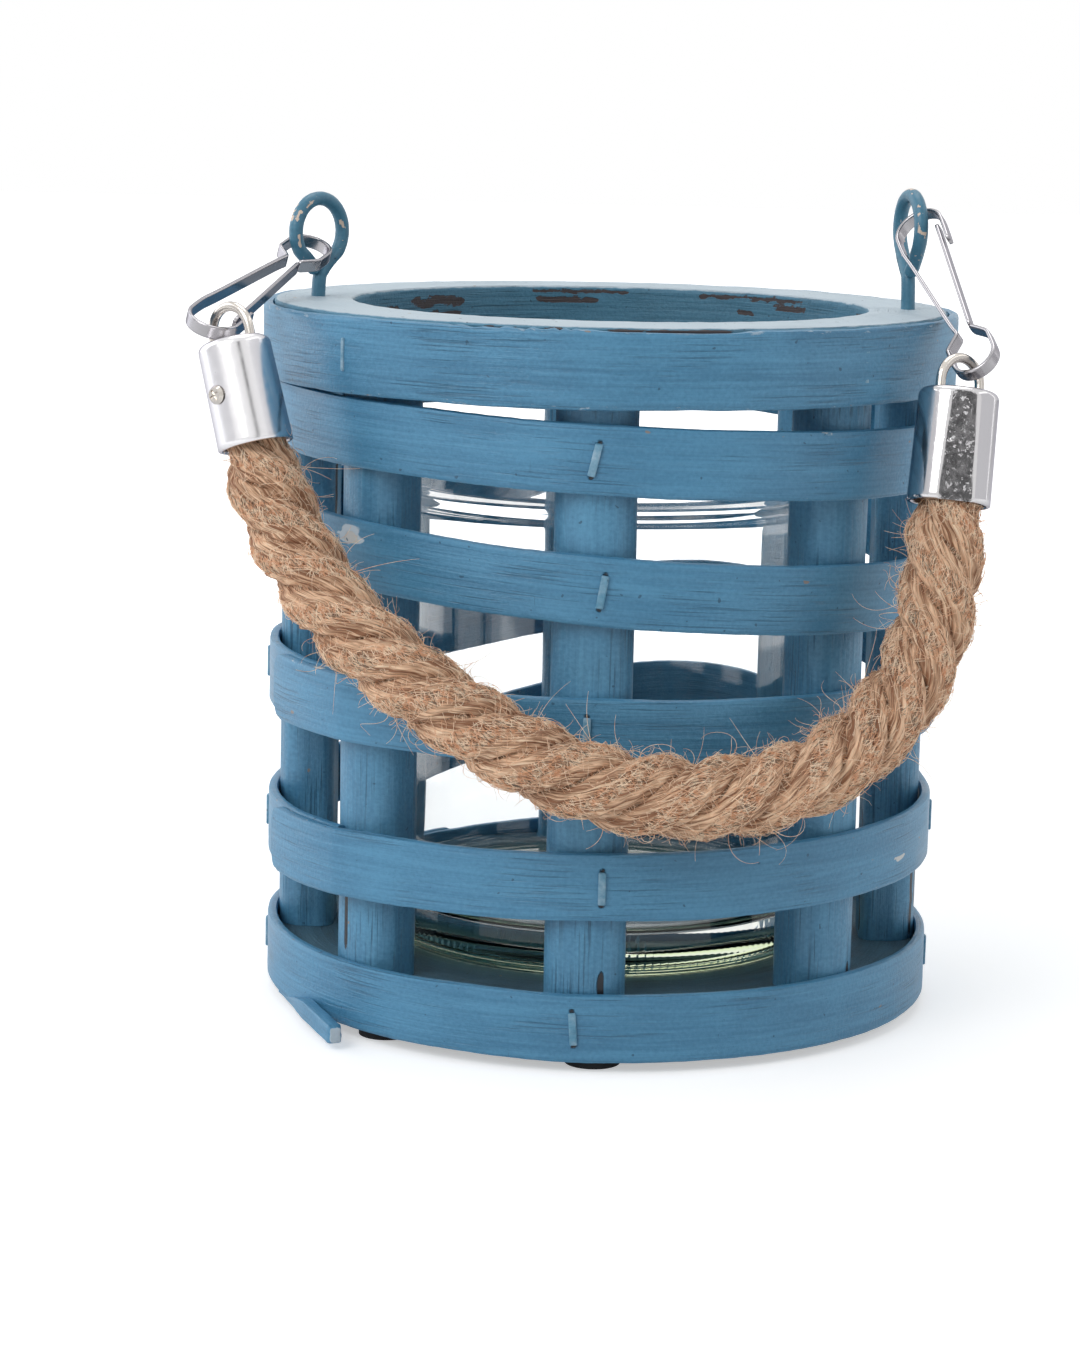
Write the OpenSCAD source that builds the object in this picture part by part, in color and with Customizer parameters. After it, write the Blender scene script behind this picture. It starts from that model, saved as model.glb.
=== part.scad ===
// Mason jar lantern: a painted wooden basket of eight staves and five wrapped
// hoops around a glass jar, carried by a rope handle on two wire clips.
// Millimetres, +Z up, origin on the table under the middle, front toward -Y.

/* [Basket] */
// outer diameter of the rim band
rim_d = 104; // [94:1:114]
// height of the top face of the wooden ring
body_h = 105.2; // [95:0.2:116]
// height of the thick top ring
ring_h = 10.9; // [9.6:0.1:12.2]
// width of the wood of the top ring, from its opening to the rim band
ring_w = 11.9; // [10.5:0.1:14]
// thickness of the rim band
band_t = 1.5; // [1.3:0.05:1.7]
// height of the rim band
band_h = 11; // [9.7:0.1:12.3]
// thickness of the base disc
base_t = 7.6; // [6.7:0.1:8.5]
// width of a stave
stave_w = 11.5; // [10:0.25:13]
// thickness of a stave
stave_t = 8.6; // [7.6:0.1:9.6]
// radius of the rounded outer face of a stave
stave_round = 7; // [6.8:0.1:9]
// thickness of a hoop strip
hoop_t = 1.45; // [1.25:0.05:1.6]
// width of a hoop strip
hoop_w = 9.8; // [8.6:0.1:10.9]

/* [Feet] */
// height of the black foot pads
pad_h = 1.4; // [1.2:0.1:2]
// diameter of a foot pad
pad_d = 8; // [6:0.5:9]

/* [Glass jar] */
// outer diameter of the jar
jar_d = 68; // [60:1:70]
// height of the jar
jar_h = 73.8; // [66:0.1:80]
// wall thickness of the jar
jar_wall = 2.2; // [1.8:0.1:3]
// thickness of the jar bottom
jar_floor = 6; // [4:0.5:8]

/* [Eye screws] */
// wire diameter of the eye screws
eye_wire_d = 2.1; // [1.8:0.1:2.3]
// radius of the eye to the middle of its wire
eye_r = 4.9; // [4.4:0.1:5.4]

/* [Clips] */
// length of a clip over its two ends
clip_l = 40; // [35.5:0.5:44.5]
// width of the clip strip
clip_w = 2; // [1.6:0.1:2.2]
// thickness of the clip strip
clip_t = 0.55; // [0.4:0.05:0.6]

/* [Ferrules] */
// radius of the two round sides of a ferrule
ferrule_r = 5; // [4.5:0.1:5.5]
// wall thickness of a ferrule
ferrule_wall = 0.5; // [0.4:0.05:0.6]
// wire diameter of the ferrule rings
ring_wire_d = 1.4; // [1.2:0.05:1.55]

/* [Rope] */
// diameter of the rope
rope_d = 11; // [9:0.25:11.5]

/* [Hidden] */
$fn = 72;

// colours
paint = [0.24, 0.45, 0.58];
paint_dark = [0.16, 0.33, 0.45];
metal = [0.75, 0.75, 0.76];
rubber = [0.05, 0.05, 0.06];
glass = [0.85, 0.92, 0.90, 0.35];
jute = [0.72, 0.53, 0.34];

// clearances
band_gap = 0.1;
hoop_gap = 0.15;
lap_gap = 0.06;
rim_gap = 0.03;
base_gap = 0.35;
leg_gap = 0.05;
wire_gap = 0.05;
strip_gap = 0.15;

// derived sizes of the basket
stave_inset = 2.9;
band_drop = 0.2;
rim_r = rim_d / 2;
ring_z = body_h - ring_h;
ring_r = rim_r - band_t - band_gap;
band_z = body_h - band_drop - band_h;
base_z = pad_h;
floor_z = base_z + base_t;
stave_apex = rim_r - stave_inset;
hoop_in = stave_apex + hoop_gap;
hoop_out = hoop_in + hoop_t;
base_r = hoop_in - base_gap;
ring_hole_r = ring_r - ring_w;

// stave angles round the basket, measured from +X
a_front = 268.2;
a_front_left = 223.5;
a_left = 180;
a_back_left = 145;
a_back = 96;
a_back_right = 42;
a_right = 0;
a_front_right = 316;
staple_angles = [a_front, a_left, a_right, a_back];

// hoops: the top one hangs close under the rim band, the lowest one wraps the
// base, and the others lie at these shares of the way up between the two
hoop_1_slope = -0.042;
hoop_1_rise = 1.9;
hoop_1_z = min(band_z, ring_z) - rim_gap - hoop_w / 2 - max(hoop_1_rise, -hoop_1_slope * hoop_in);
hoop_5_z = base_z + band_drop + hoop_w / 2;
hoop_2_share = 0.7739;
hoop_3_share = 0.5255;
hoop_4_share = 0.2534;

// hoops: height of the middle, slope at the front, slope at the back, rise of
// the back half, angle of the covering end, turns of overlap in degrees, shift
// and lean of the front staple in degrees
hoop_1_set = [hoop_1_z, hoop_1_slope, 0, hoop_1_rise, 112, 24, 0, -13];
hoop_2_set = [between(hoop_5_z, hoop_1_z, hoop_2_share), -0.068, 0.06, 6, 52, 22, 1.6, -10];
hoop_3_set = [between(hoop_5_z, hoop_1_z, hoop_3_share), -0.010, 0.15, 4.5, 202, 22, -0.3, 0];
hoop_4_set = [between(hoop_5_z, hoop_1_z, hoop_4_share), 0.018, 0.20, 9.1, 201, 22, 2.7, 0];
hoop_5_set = [hoop_5_z, -0.003, 0.07, 3.6, 120, 24, -1.4, 4];
hoop_step = 4;
lap_ramp = 16;

// splinter of the lowest hoop: size, angle of its root, how far out and low it
// starts, and its turns
splinter = [27.4, 2, 2.8];
splinter_a = 200.2;
splinter_out = 1.69;
splinter_low = 3;
splinter_turn = [0, 2.6, -66.4];

// staples
crown_w = 1.1;
crown_t = 0.5;
crown_l = 4.7;
leg_l = 3;

// eyes: middle of the ring, heading of the ring plane, drop to the fork; a
// longer clip lets them stand further in from the rim
eye_share_left = 0.2;
eye_share_right = 0.09;
eye_in_right = 3.9;
eye_left = [clip_l * eye_share_left - rim_r, 0, body_h + 9.6];
eye_right = [rim_r - clip_l * eye_share_right - eye_in_right, 0, body_h + 12];
heading_left = 230;
heading_right = -76;
fork_left = 6.1;
fork_right = 6.9;
eye_foot_z = body_h - 8.2;

// clips: the three turns of the strip outline and its origin; the left one
// starts in its eye, the right one ends in its eye
clip_left_turn = [196.2, 19.2, -15.2];
clip_left_at = eye_left + [-0.26, 0.71, -1.84];
clip_right_turn = [30.4, 10.4, -32.9];
clip_right_hook = eye_right + [0.559, -0.836, 1.649];
clip_right_at = clip_right_hook - clip_l * clip_way(clip_right_turn);
base_bow = 3.15;
hook_bow = 3.6;
neck = [1.2, 9.8];
gate_tip = [hook_bow - 1, clip_l - 5.2];

// ferrules: contact point of the ring, turns of the axis, ring twist, crown;
// the left ring hangs in the clip's hook, the right one in the clip's base
ring_bow = 3.6;
clip_left_hook = clip_left_at + clip_l * clip_way(clip_left_turn);
ring_left_at = clip_left_hook + [3.745, 1.295, 0.909];
ring_left_turn = [-12.5, -13.9];
ring_left_twist = -40;
ring_left_crown = 2.35;
ring_right_at = clip_right_at + [-2.78, 0.71, -0.51];
ring_right_turn = [-14.3, 4.6];
ring_right_twist = 35.7;
ring_right_crown = 2.39;
cap_drop_left = 2.5;
cap_drop_right = 2.2;
ferrule_left_l = 15.3;
ferrule_right_l = 16.2;
ferrule_half = 0.7;
ferrule_flare = 0.2;
ferrule_edge = 1.2;
ferrule_left_twist = 80;
ferrule_right_twist = 5;
ring_leg = 1.6;
screw_drop = 7.7;
screw_angle = 233;
screw_r = 1.35;
screw_shank_r = 0.6;

// rope: hand-laid route, from the left ferrule to the right one, and the rim
// and ring contacts that it was laid for
route_rim_r = 52;
route_left = [-53.67, -34.27, 103.33];
route_right = [49.5, -34.06, 98.43];
laid_route = [
    [-51.9, -35.8, 96.4], [-51.0, -36.6, 92.9], [-50.2, -37.3, 89.7], [-49.4, -38.0, 86.5],
    [-47.9, -39.1, 81.8], [-45.6, -41.0, 76.6], [-42.6, -43.8, 71.6],
    [-38.9, -47.0, 67.0], [-34.4, -50.4, 62.5], [-29.2, -53.3, 58.5],
    [-23.4, -55.8, 54.7], [-17.2, -57.8, 51.0], [-10.8, -59.3, 47.6],
    [-4.2, -60.1, 44.9], [2.6, -60.3, 43.0], [9.4, -59.6, 42.1],
    [16.2, -58.2, 42.0], [22.8, -56.2, 42.7], [29.1, -53.8, 44.4],
    [34.7, -50.8, 47.3], [39.4, -47.6, 51.4], [43.2, -44.9, 56.5],
    [45.7, -42.8, 62.3], [47.0, -41.4, 68.6], [47.6, -40.2, 74.8],
    [48.0, -38.6, 80.7], [48.3, -37.7, 83.9], [48.6, -36.9, 87.2]
];
rope_sides = 10;
rope_split = 2;
rope_in_left = 3;
rope_in_right = 2;

// ------------------------------------------------------------- helpers

// a value between two others, at a share of the way
function between(a, b, share) = a + (b - a) * share;

// which way a clip's length runs after its turns
function clip_way(turn) =
    [-sin(turn[1]), cos(turn[1]) * cos(turn[0]), cos(turn[1]) * sin(turn[0])];

// height of the middle of a hoop at an angle
function hoop_z(s, a) =
    let(back = max(0, sin(a)) * max(0, sin(a)), x = hoop_in * cos(a))
    s[0] + s[1] * x * (1 - back) + (s[2] * x + s[3]) * back;

// how far a hoop strip lies out from its inner layer, at a distance along it
function lap_out(t, lap) =
    (hoop_t + lap_gap) * max(0, min(1, (lap + lap_ramp - t) / lap_ramp));

// four corners of a hoop strip at a distance along it
function hoop_ring(s, t) =
    let(a = s[4] + t, z = hoop_z(s, a), r = hoop_in + lap_out(t, s[5]))
    [for (c = [[0, -1], [hoop_t, -1], [hoop_t, 1], [0, 1]])
        [(r + c[0]) * cos(a), (r + c[0]) * sin(a), z + c[1] * hoop_w / 2]];

// side faces between rings of a swept solid
function sweep_faces(n, k) = [
    for (i = [0 : n - 2])
        for (j = [0 : k - 1])
            [i * k + j, i * k + (j + 1) % k, (i + 1) * k + (j + 1) % k, (i + 1) * k + j]
];

// a swept solid from a list of rings
module sweep(rings) {
    n = len(rings);
    k = len(rings[0]);
    points = [for (r = rings) for (p = r) p];
    start = [[for (j = [k - 1 : -1 : 0]) j]];
    finish = [[for (j = [0 : k - 1]) (n - 1) * k + j]];
    polyhedron(points, concat(sweep_faces(n, k), start, finish));
}

// a round rod between two points
module rod(p, q, r) {
    d = q - p;
    l = norm(d);
    translate(p)
        rotate([0, acos(d[2] / l), atan2(d[1], d[0])])
            cylinder(r = r, h = l, $fn = 24);
}

// puts a child on the outside of the basket at an angle and height
module on_wall(a, z) {
    translate([0, 0, z])
        rotate([0, 0, a])
            children();
}

// ------------------------------------------------------------- staples

// one staple with its crown lying on a surface of radius r
module staple(r, grow) {
    for (s = [-1, 1])
        translate([r - leg_l, -crown_w / 2 - grow, s * (crown_l - crown_t) / 2 - crown_t / 2 - grow])
            cube([leg_l + crown_t / 2, crown_w + 2 * grow, crown_t + 2 * grow]);
    if (grow == 0)
        translate([r + leg_gap, -crown_w / 2, -crown_l / 2])
            cube([crown_t, crown_w, crown_l]);
}

// the staples of one hoop
module staples_of(s, grow) {
    for (a = staple_angles) {
        here = a == a_front ? a + s[6] : a;
        on_wall(here, hoop_z(s, here))
            rotate([a == a_front ? s[7] : 0, 0, 0])
                staple(hoop_out, grow);
    }
}

module all_hoop_staples(grow) {
    for (s = [hoop_1_set, hoop_2_set, hoop_3_set, hoop_4_set, hoop_5_set])
        staples_of(s, grow);
}

module all_rim_staples(grow) {
    for (a = [224, 314, 46, 136])
        on_wall(a, band_z + band_h / 2)
            staple(rim_r, grow);
}

// ------------------------------------------------------------- basket

module top_ring() {
    color(paint)
    difference() {
        translate([0, 0, ring_z])
            cylinder(r = ring_r, h = ring_h, $fn = 120);
        translate([0, 0, ring_z - 1])
            cylinder(r = ring_hole_r, h = ring_h + 2, $fn = 120);
        all_rim_staples(leg_gap);
        eye_shank(eye_left, fork_left, wire_gap);
        eye_shank(eye_right, fork_right, wire_gap);
    }
}

module rim_band() {
    color(paint)
    difference() {
        translate([0, 0, band_z])
            cylinder(r = rim_r, h = band_h, $fn = 120);
        translate([0, 0, band_z - 1])
            cylinder(r = rim_r - band_t, h = band_h + 2, $fn = 120);
        all_rim_staples(leg_gap);
    }
}

// a stave standing between the base disc and the top ring
module stave(a) {
    color(paint_dark)
    difference() {
        rotate([0, 0, a])
            translate([0, 0, floor_z])
                linear_extrude(ring_z - floor_z)
                    intersection() {
                        translate([stave_apex - stave_round, 0])
                            circle(r = stave_round, $fn = 64);
                        translate([stave_apex - stave_t, -stave_w / 2])
                            square([stave_t + 1, stave_w]);
                    }
        all_hoop_staples(leg_gap);
    }
}

module stave_front() {
    stave(a_front);
}

module stave_front_left() {
    stave(a_front_left);
}

module stave_left() {
    stave(a_left);
}

module stave_back_left() {
    stave(a_back_left);
}

module stave_back() {
    stave(a_back);
}

module stave_back_right() {
    stave(a_back_right);
}

module stave_right() {
    stave(a_right);
}

module stave_front_right() {
    stave(a_front_right);
}

// a strip wrapped once round the staves, its end lying over its start
module hoop(s) {
    color(paint)
    difference() {
        sweep([for (t = [0 : hoop_step : 360 + s[5] - 1]) hoop_ring(s, t)]);
        staples_of(s, leg_gap);
    }
}

module hoop_1() {
    hoop(hoop_1_set);
}

module hoop_2() {
    hoop(hoop_2_set);
}

module hoop_3() {
    hoop(hoop_3_set);
}

module hoop_4() {
    hoop(hoop_4_set);
}

// the lowest hoop, with a splinter standing off its lower left edge
module hoop_5() {
    hoop(hoop_5_set);
    color(paint)
    on_wall(splinter_a, hoop_5_z - splinter_low)
        translate([hoop_in + splinter_out, 0, 0])
            rotate([0, 0, -splinter_a])
                rotate(splinter_turn)
                    translate([0, -splinter[1] / 2, -splinter[2] / 2])
                        cube(splinter);
}

module hoop_staples() {
    color(paint)
    all_hoop_staples(0);
}

module rim_staples() {
    color(paint)
    all_rim_staples(0);
}

module base_disc() {
    color(paint_dark)
    difference() {
        translate([0, 0, base_z])
            cylinder(r = base_r, h = base_t, $fn = 120);
        staples_of(hoop_5_set, leg_gap);
    }
}

module foot_pads() {
    color(rubber)
    for (a = [227, 270, 45, 120])
        rotate([0, 0, a])
            translate([base_r - pad_d / 2 - 0.5, 0, 0])
                cylinder(d = pad_d, h = pad_h, $fn = 48);
}

// ------------------------------------------------------------- glass jar

module glass_jar() {
    jar_r = jar_d / 2;
    heel = 3;
    lip = jar_wall / 2;
    heel_arc = [for (a = [-90 : 15 : 0]) [jar_r - heel + heel * cos(a), heel + heel * sin(a)]];
    lip_arc = [for (a = [0 : 30 : 180]) [jar_r - lip + lip * cos(a), jar_h - lip + lip * sin(a)]];
    inner_arc = [for (a = [0 : -15 : -90])
        [jar_r - jar_wall - heel + heel * cos(a), jar_floor + heel + heel * sin(a)]];
    color(glass)
    translate([0, 0, floor_z])
        rotate_extrude($fn = 96)
            polygon(concat([[0, 0.8], [jar_r - 9, 0.8], [jar_r - 7, 0]],
                heel_arc, lip_arc, inner_arc, [[0, jar_floor]]));
}

// ------------------------------------------------------------- eye screws

// the part of an eye screw below the fork
module eye_shank(c, fork, grow) {
    top = [c[0], c[1], c[2] - fork];
    foot = [c[0] * 1.004, -0.4, eye_foot_z];
    rod(foot, top, eye_wire_d / 2 + grow);
}

// a bent wire eye: shank, fork and a ring left open beside the shank
module eye_screw(c, heading, fork) {
    r = eye_wire_d / 2;
    side = 60;
    low = [eye_r * cos(side), 0, -eye_r * sin(side)];
    eye_shank(c, fork, 0);
    translate(c)
        rotate([0, 0, heading]) {
            rotate([90, 0, 0])
                rotate([0, 0, -side])
                    rotate_extrude(angle = 180 + 2 * side, $fn = 96)
                        translate([eye_r, 0])
                            circle(r = r, $fn = 24);
            for (s = [-1, 1])
                rod([s * low[0], 0, low[2]], [s * 0.3, 0, -fork], r);
            for (s = [-1, 1])
                translate([s * low[0], 0, low[2]])
                    sphere(r = r * 1.02, $fn = 24);
            translate([0, 0, -fork])
                sphere(r = r * 1.15, $fn = 24);
        }
}

module eye_screw_left() {
    color(paint)
    eye_screw(eye_left, heading_left, fork_left);
}

module eye_screw_right() {
    color(paint)
    eye_screw(eye_right, heading_right, fork_right);
}

// ------------------------------------------------------------- clips

// points of an arc
function arc(cx, cy, r, a, b, n) =
    [for (i = [0 : n]) let(t = a + (b - a) * i / n) [cx + r * cos(t), cy + r * sin(t)]];

function unit(v) = v / norm(v);

// middle line of the bent strip, from the lip round the hook to the neck
function clip_line() = concat(
    [[hook_bow - 0.25, clip_l - 9.5]],
    arc(0, clip_l - hook_bow - clip_t / 2, hook_bow, 0, 180, 14),
    [[-hook_bow, clip_l - hook_bow - 4], [-1, neck[1]], [-base_bow, 7]],
    arc(0, base_bow + clip_t / 2, base_bow, 180, 360, 14),
    [[base_bow, 6.6], neck]
);

// a line of points set off sideways
function set_off(line, d) = [
    for (i = [0 : len(line) - 1])
        let(
            a = unit(line[min(i + 1, len(line) - 1)] - line[min(i, len(line) - 2)]),
            b = unit(line[max(i, 1)] - line[max(i - 1, 0)]),
            m = unit(a + b),
            k = max(0.5, a * m)
        )
        line[i] + [-m[1], m[0]] * d / k
];

// puts a child in the place of a clip
module clip_place(at, turn) {
    translate(at)
        rotate([turn[0], 0, 0])
            rotate([0, 0, turn[1]])
                rotate([0, turn[2], 0])
                    children();
}

module clip_strip() {
    line = clip_line();
    outer = set_off(line, -clip_t / 2);
    inner = set_off(line, clip_t / 2);
    translate([0, 0, -clip_w / 2])
        linear_extrude(clip_w)
            polygon(concat(outer, [for (i = [len(inner) - 1 : -1 : 0]) inner[i]]));
}

// the springing leg that closes the hook
module gate_strip() {
    d = unit(gate_tip - neck);
    side = [-d[1], d[0]] * clip_t / 2;
    a = neck + d * (strip_gap + clip_t / 2);
    translate([0, 0, -clip_w / 2])
        linear_extrude(clip_w)
            polygon([a - side, gate_tip - side, gate_tip + side, a + side]);
}

module clip_left() {
    color(metal)
    clip_place(clip_left_at, clip_left_turn)
        clip_strip();
}

module clip_gate_left() {
    color(metal)
    clip_place(clip_left_at, clip_left_turn)
        gate_strip();
}

module clip_right() {
    color(metal)
    clip_place(clip_right_at, clip_right_turn)
        clip_strip();
}

module clip_gate_right() {
    color(metal)
    clip_place(clip_right_at, clip_right_turn)
        gate_strip();
}

// ------------------------------------------------------------- ferrules

// puts a child on a ferrule axis: Z along the axis, zero at the ring contact
module ferrule_place(at, turn) {
    translate(at)
        rotate([turn[0], 0, 0])
            rotate([0, turn[1], 0])
                children();
}

// a half ring whose two legs go straight down through the cap
module wire_ring(twist, crown, cap, grow) {
    r = ring_wire_d / 2 + grow;
    drop = crown - ring_bow + cap + ring_leg;
    rotate([0, 0, twist])
        translate([0, 0, crown - ring_bow]) {
            rotate([90, 0, 0])
                rotate_extrude(angle = 180, $fn = 72)
                    translate([ring_bow, 0])
                        circle(r = r, $fn = 24);
            for (s = [-1, 1])
                translate([s * ring_bow, 0, -drop])
                    cylinder(r = r, h = drop + 0.01, $fn = 24);
        }
}

// flattened tube, closed at the top, with a rounded shoulder
module ferrule_shell(length, cap) {
    low_r = ferrule_r + ferrule_flare;
    arc_points = [for (a = [0 : 15 : 90])
        [ferrule_r - ferrule_edge + ferrule_edge * cos(a), -ferrule_edge + ferrule_edge * sin(a)]];
    difference() {
        translate([0, 0, -cap])
            hull()
                for (s = [-1, 1])
                    translate([s * ferrule_half, 0, 0])
                        rotate_extrude($fn = 56)
                            polygon(concat([[0, -length], [low_r, -length]], arc_points, [[0, 0]]));
        translate([0, 0, -cap - length - 1])
            linear_extrude(length + 1 - ferrule_wall * 2)
                union() {
                    for (s = [-1, 1])
                        translate([s * ferrule_half, 0])
                            circle(r = ferrule_r - ferrule_wall, $fn = 56);
                    square([2 * ferrule_half, 2 * (ferrule_r - ferrule_wall)], center = true);
                }
    }
}

// puts a child at the small screw in the left ferrule
module screw_place() {
    ferrule_place(ring_left_at, ring_left_turn)
        rotate([0, 0, screw_angle])
            translate([0, 0, -cap_drop_left - screw_drop])
                rotate([0, 90, 0])
                    children();
}

module ferrule_left() {
    color(metal)
    difference() {
        ferrule_place(ring_left_at, ring_left_turn)
            difference() {
                rotate([0, 0, ferrule_left_twist])
                    ferrule_shell(ferrule_left_l, cap_drop_left);
                wire_ring(ring_left_twist, ring_left_crown, cap_drop_left, wire_gap);
            }
        screw_place()
            cylinder(r = screw_shank_r + wire_gap, h = 9, $fn = 24);
    }
}

module ferrule_right() {
    color(metal)
    ferrule_place(ring_right_at, ring_right_turn)
        difference() {
            rotate([0, 0, ferrule_right_twist])
                ferrule_shell(ferrule_right_l, cap_drop_right);
            wire_ring(ring_right_twist, ring_right_crown, cap_drop_right, wire_gap);
        }
}

module ferrule_ring_left() {
    color(metal)
    ferrule_place(ring_left_at, ring_left_turn)
        wire_ring(ring_left_twist, ring_left_crown, cap_drop_left, 0);
}

module ferrule_ring_right() {
    color(metal)
    ferrule_place(ring_right_at, ring_right_turn)
        wire_ring(ring_right_twist, ring_right_crown, cap_drop_right, 0);
}

// small cross-head screw that holds the rope in the left ferrule
module ferrule_screw() {
    seat = ferrule_r + ferrule_half + ferrule_flare;
    color(metal)
    screw_place()
        difference() {
            union() {
                translate([0, 0, seat - 3.6])
                    cylinder(r = screw_shank_r, h = 3.7, $fn = 24);
                translate([0, 0, seat])
                    cylinder(r1 = screw_r, r2 = screw_r - 0.35, h = 0.5, $fn = 40);
            }
            for (a = [20, 110])
                rotate([0, 0, a])
                    translate([-0.8, -0.16, seat + 0.25])
                        cube([1.6, 0.32, 1]);
        }
}

// ------------------------------------------------------------- rope

// a laid point moved along with the two ferrules and the front of the rim
function moved(i) =
    let(
        first = rope_in_left,
        last = len(laid_route) - 1 - rope_in_right,
        t = max(0, min(1, (i - first) / (last - first))),
        left = ring_left_at - route_left,
        right = ring_right_at - route_right,
        near_left = max(0, 1 - 2 * t) * max(0, 1 - 2 * t),
        near_right = max(0, 2 * t - 1) * max(0, 2 * t - 1),
        front = 4 * t * (1 - t) * (rim_r - route_rim_r),
        x = left[0] * near_left + right[0] * near_right,
        y = left[1] * near_left + right[1] * near_right - front
    )
    laid_route[i] + [x, y, between(left[2], right[2], t)];

rope_route = [for (i = [0 : len(laid_route) - 1]) moved(i)];

// a point on the smooth line through the rope route
function route_at(i, t) =
    let(
        n = len(rope_route) - 1,
        a = rope_route[max(0, i - 1)],
        b = rope_route[i],
        c = rope_route[min(n, i + 1)],
        d = rope_route[min(n, i + 2)]
    )
    (b * 2 + (c - a) * t + (a * 2 - b * 5 + c * 4 - d) * t * t
        + (b * 3 - a - c * 3 + d) * t * t * t) / 2;

rope_points = concat(
    [for (i = [0 : len(rope_route) - 2]) for (k = [0 : rope_split - 1]) route_at(i, k / rope_split)],
    [rope_route[len(rope_route) - 1]]
);

// thickness of the rope, drawn in where it enters the ferrules
function rope_r(i) =
    let(
        last = len(rope_points) - 1,
        out_left = i / rope_split - rope_in_left,
        out_right = (last - i) / rope_split - rope_in_right,
        slim = ferrule_r - ferrule_wall - 0.2,
        open = max(0, min(1, min(out_left, out_right) / 0.8))
    )
    slim + (rope_d / 2 - slim) * open;

function rope_ring(i) =
    let(
        last = len(rope_points) - 1,
        d = unit(rope_points[min(last, i + 1)] - rope_points[max(0, i - 1)]),
        u = unit(cross(d, [0.3, 1, 0.2])),
        v = cross(d, u)
    )
    [for (k = [0 : rope_sides - 1])
        let(a = -360 * k / rope_sides)
        rope_points[i] + (u * cos(a) + v * sin(a)) * rope_r(i)];

module rope() {
    color(jute)
    sweep([for (i = [0 : len(rope_points) - 1]) rope_ring(i)]);
}

// ------------------------------------------------------------- nodes

top_ring();
rim_band();
stave_front();
stave_front_left();
stave_left();
stave_back_left();
stave_back();
stave_back_right();
stave_right();
stave_front_right();
hoop_1();
hoop_2();
hoop_3();
hoop_4();
hoop_5();
hoop_staples();
rim_staples();
base_disc();
foot_pads();
glass_jar();
eye_screw_left();
eye_screw_right();
clip_left();
clip_gate_left();
clip_right();
clip_gate_right();
ferrule_left();
ferrule_right();
ferrule_ring_left();
ferrule_ring_right();
ferrule_screw();
rope();
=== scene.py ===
"""Looks of a mason jar lantern: a painted basket round a glass jar, with a rope handle on two wire clips.

Lengths in the plan are millimetres and are turned to metres where a mesh is made. The frame is that of the
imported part: +Z up, the origin on the table under the middle, the rope hanging on the -Y side.
"""

import logging
import math
import random
from dataclasses import dataclass
from enum import Enum
from typing import Callable, Dict, List, Sequence, Set, Tuple

import bmesh
import bpy
from mathutils import Matrix, Vector, noise


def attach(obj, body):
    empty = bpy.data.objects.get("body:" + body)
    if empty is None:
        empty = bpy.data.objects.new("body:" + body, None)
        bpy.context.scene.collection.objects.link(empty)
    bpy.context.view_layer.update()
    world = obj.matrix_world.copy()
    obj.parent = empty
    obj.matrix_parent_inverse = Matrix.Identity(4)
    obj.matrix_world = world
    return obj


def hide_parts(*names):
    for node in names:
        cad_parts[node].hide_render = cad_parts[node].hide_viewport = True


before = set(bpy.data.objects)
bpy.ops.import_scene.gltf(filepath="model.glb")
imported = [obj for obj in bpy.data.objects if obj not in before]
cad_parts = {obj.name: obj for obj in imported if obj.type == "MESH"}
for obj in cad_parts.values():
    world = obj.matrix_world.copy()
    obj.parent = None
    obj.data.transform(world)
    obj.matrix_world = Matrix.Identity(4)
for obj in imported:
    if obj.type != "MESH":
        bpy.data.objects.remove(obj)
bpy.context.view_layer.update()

log = logging.getLogger("lantern")
logging.basicConfig(level=logging.INFO, format="%(message)s")

MM = 0.001
Colour = Tuple[float, float, float]
Point = Tuple[float, float, float]
Pair = Tuple[float, float]
Socket = bpy.types.NodeSocket
# Besides real marks, wear also holds the rope's groove depth for painted shade, pale also holds painted sheen
# and a painted reflection, and dark also holds painted shade on the staves.
Spot = Tuple[float, ...]  # x, y, z in mm, wear and pale, and maybe dark and the place from a staple


# ---------------------------------------------------------------- small maths


def clamp(x: float, low: float = 0.0, high: float = 1.0) -> float:
    """Keeps a number between two limits."""
    return max(low, min(high, x))


def smooth(a: float, b: float, x: float) -> float:
    """Rises smoothly from 0 at a to 1 at b."""
    t = clamp((x - a) / (b - a))
    return t * t * (3 - 2 * t)


def drift(x: float, y: float = 0.0, z: float = 0.0) -> float:
    """Smooth seeded noise from -1 to 1 at a point."""
    return noise.noise(Vector((x, y, z)))


def about(degrees: float, axis: str) -> Matrix:
    """A turn about one axis."""
    return Matrix.Rotation(math.radians(degrees), 4, axis)


def turn(tilt: float, lean: float, roll: float) -> Matrix:
    """Three turns in a row about X, then Z, then Y, in degrees."""
    return about(tilt, "X") @ about(lean, "Z") @ about(roll, "Y")


def heading(degrees: float, rise: float = 0.0) -> Vector:
    """The level direction at an angle from +X, with a rise."""
    a = math.radians(degrees)
    return Vector((math.cos(a), math.sin(a), rise))


def polar(r: float, degrees: float) -> Pair:
    """X and y of a point at a radius and an angle."""
    a = math.radians(degrees)
    return r * math.cos(a), r * math.sin(a)


def arc(x: float, y: float, radius: float, degrees: Sequence[float]) -> List[Pair]:
    """Points of a circle about x and y, at the given angles."""
    turns = [math.radians(d) for d in degrees]
    return [(x + radius * math.cos(a), y + radius * math.sin(a)) for a in turns]


def add_object(name: str, data: bpy.types.ID) -> bpy.types.Object:
    """Puts a mesh, curve, lamp or camera in the scene."""
    obj = bpy.data.objects.new(name, data)
    bpy.context.scene.collection.objects.link(obj)
    return obj


def keep_node(name: str, material: bpy.types.Material) -> None:
    """Shows a node of the CAD model as it is, in a material."""
    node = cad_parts[name]
    node.data.materials.clear()
    node.data.materials.append(material)


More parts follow.
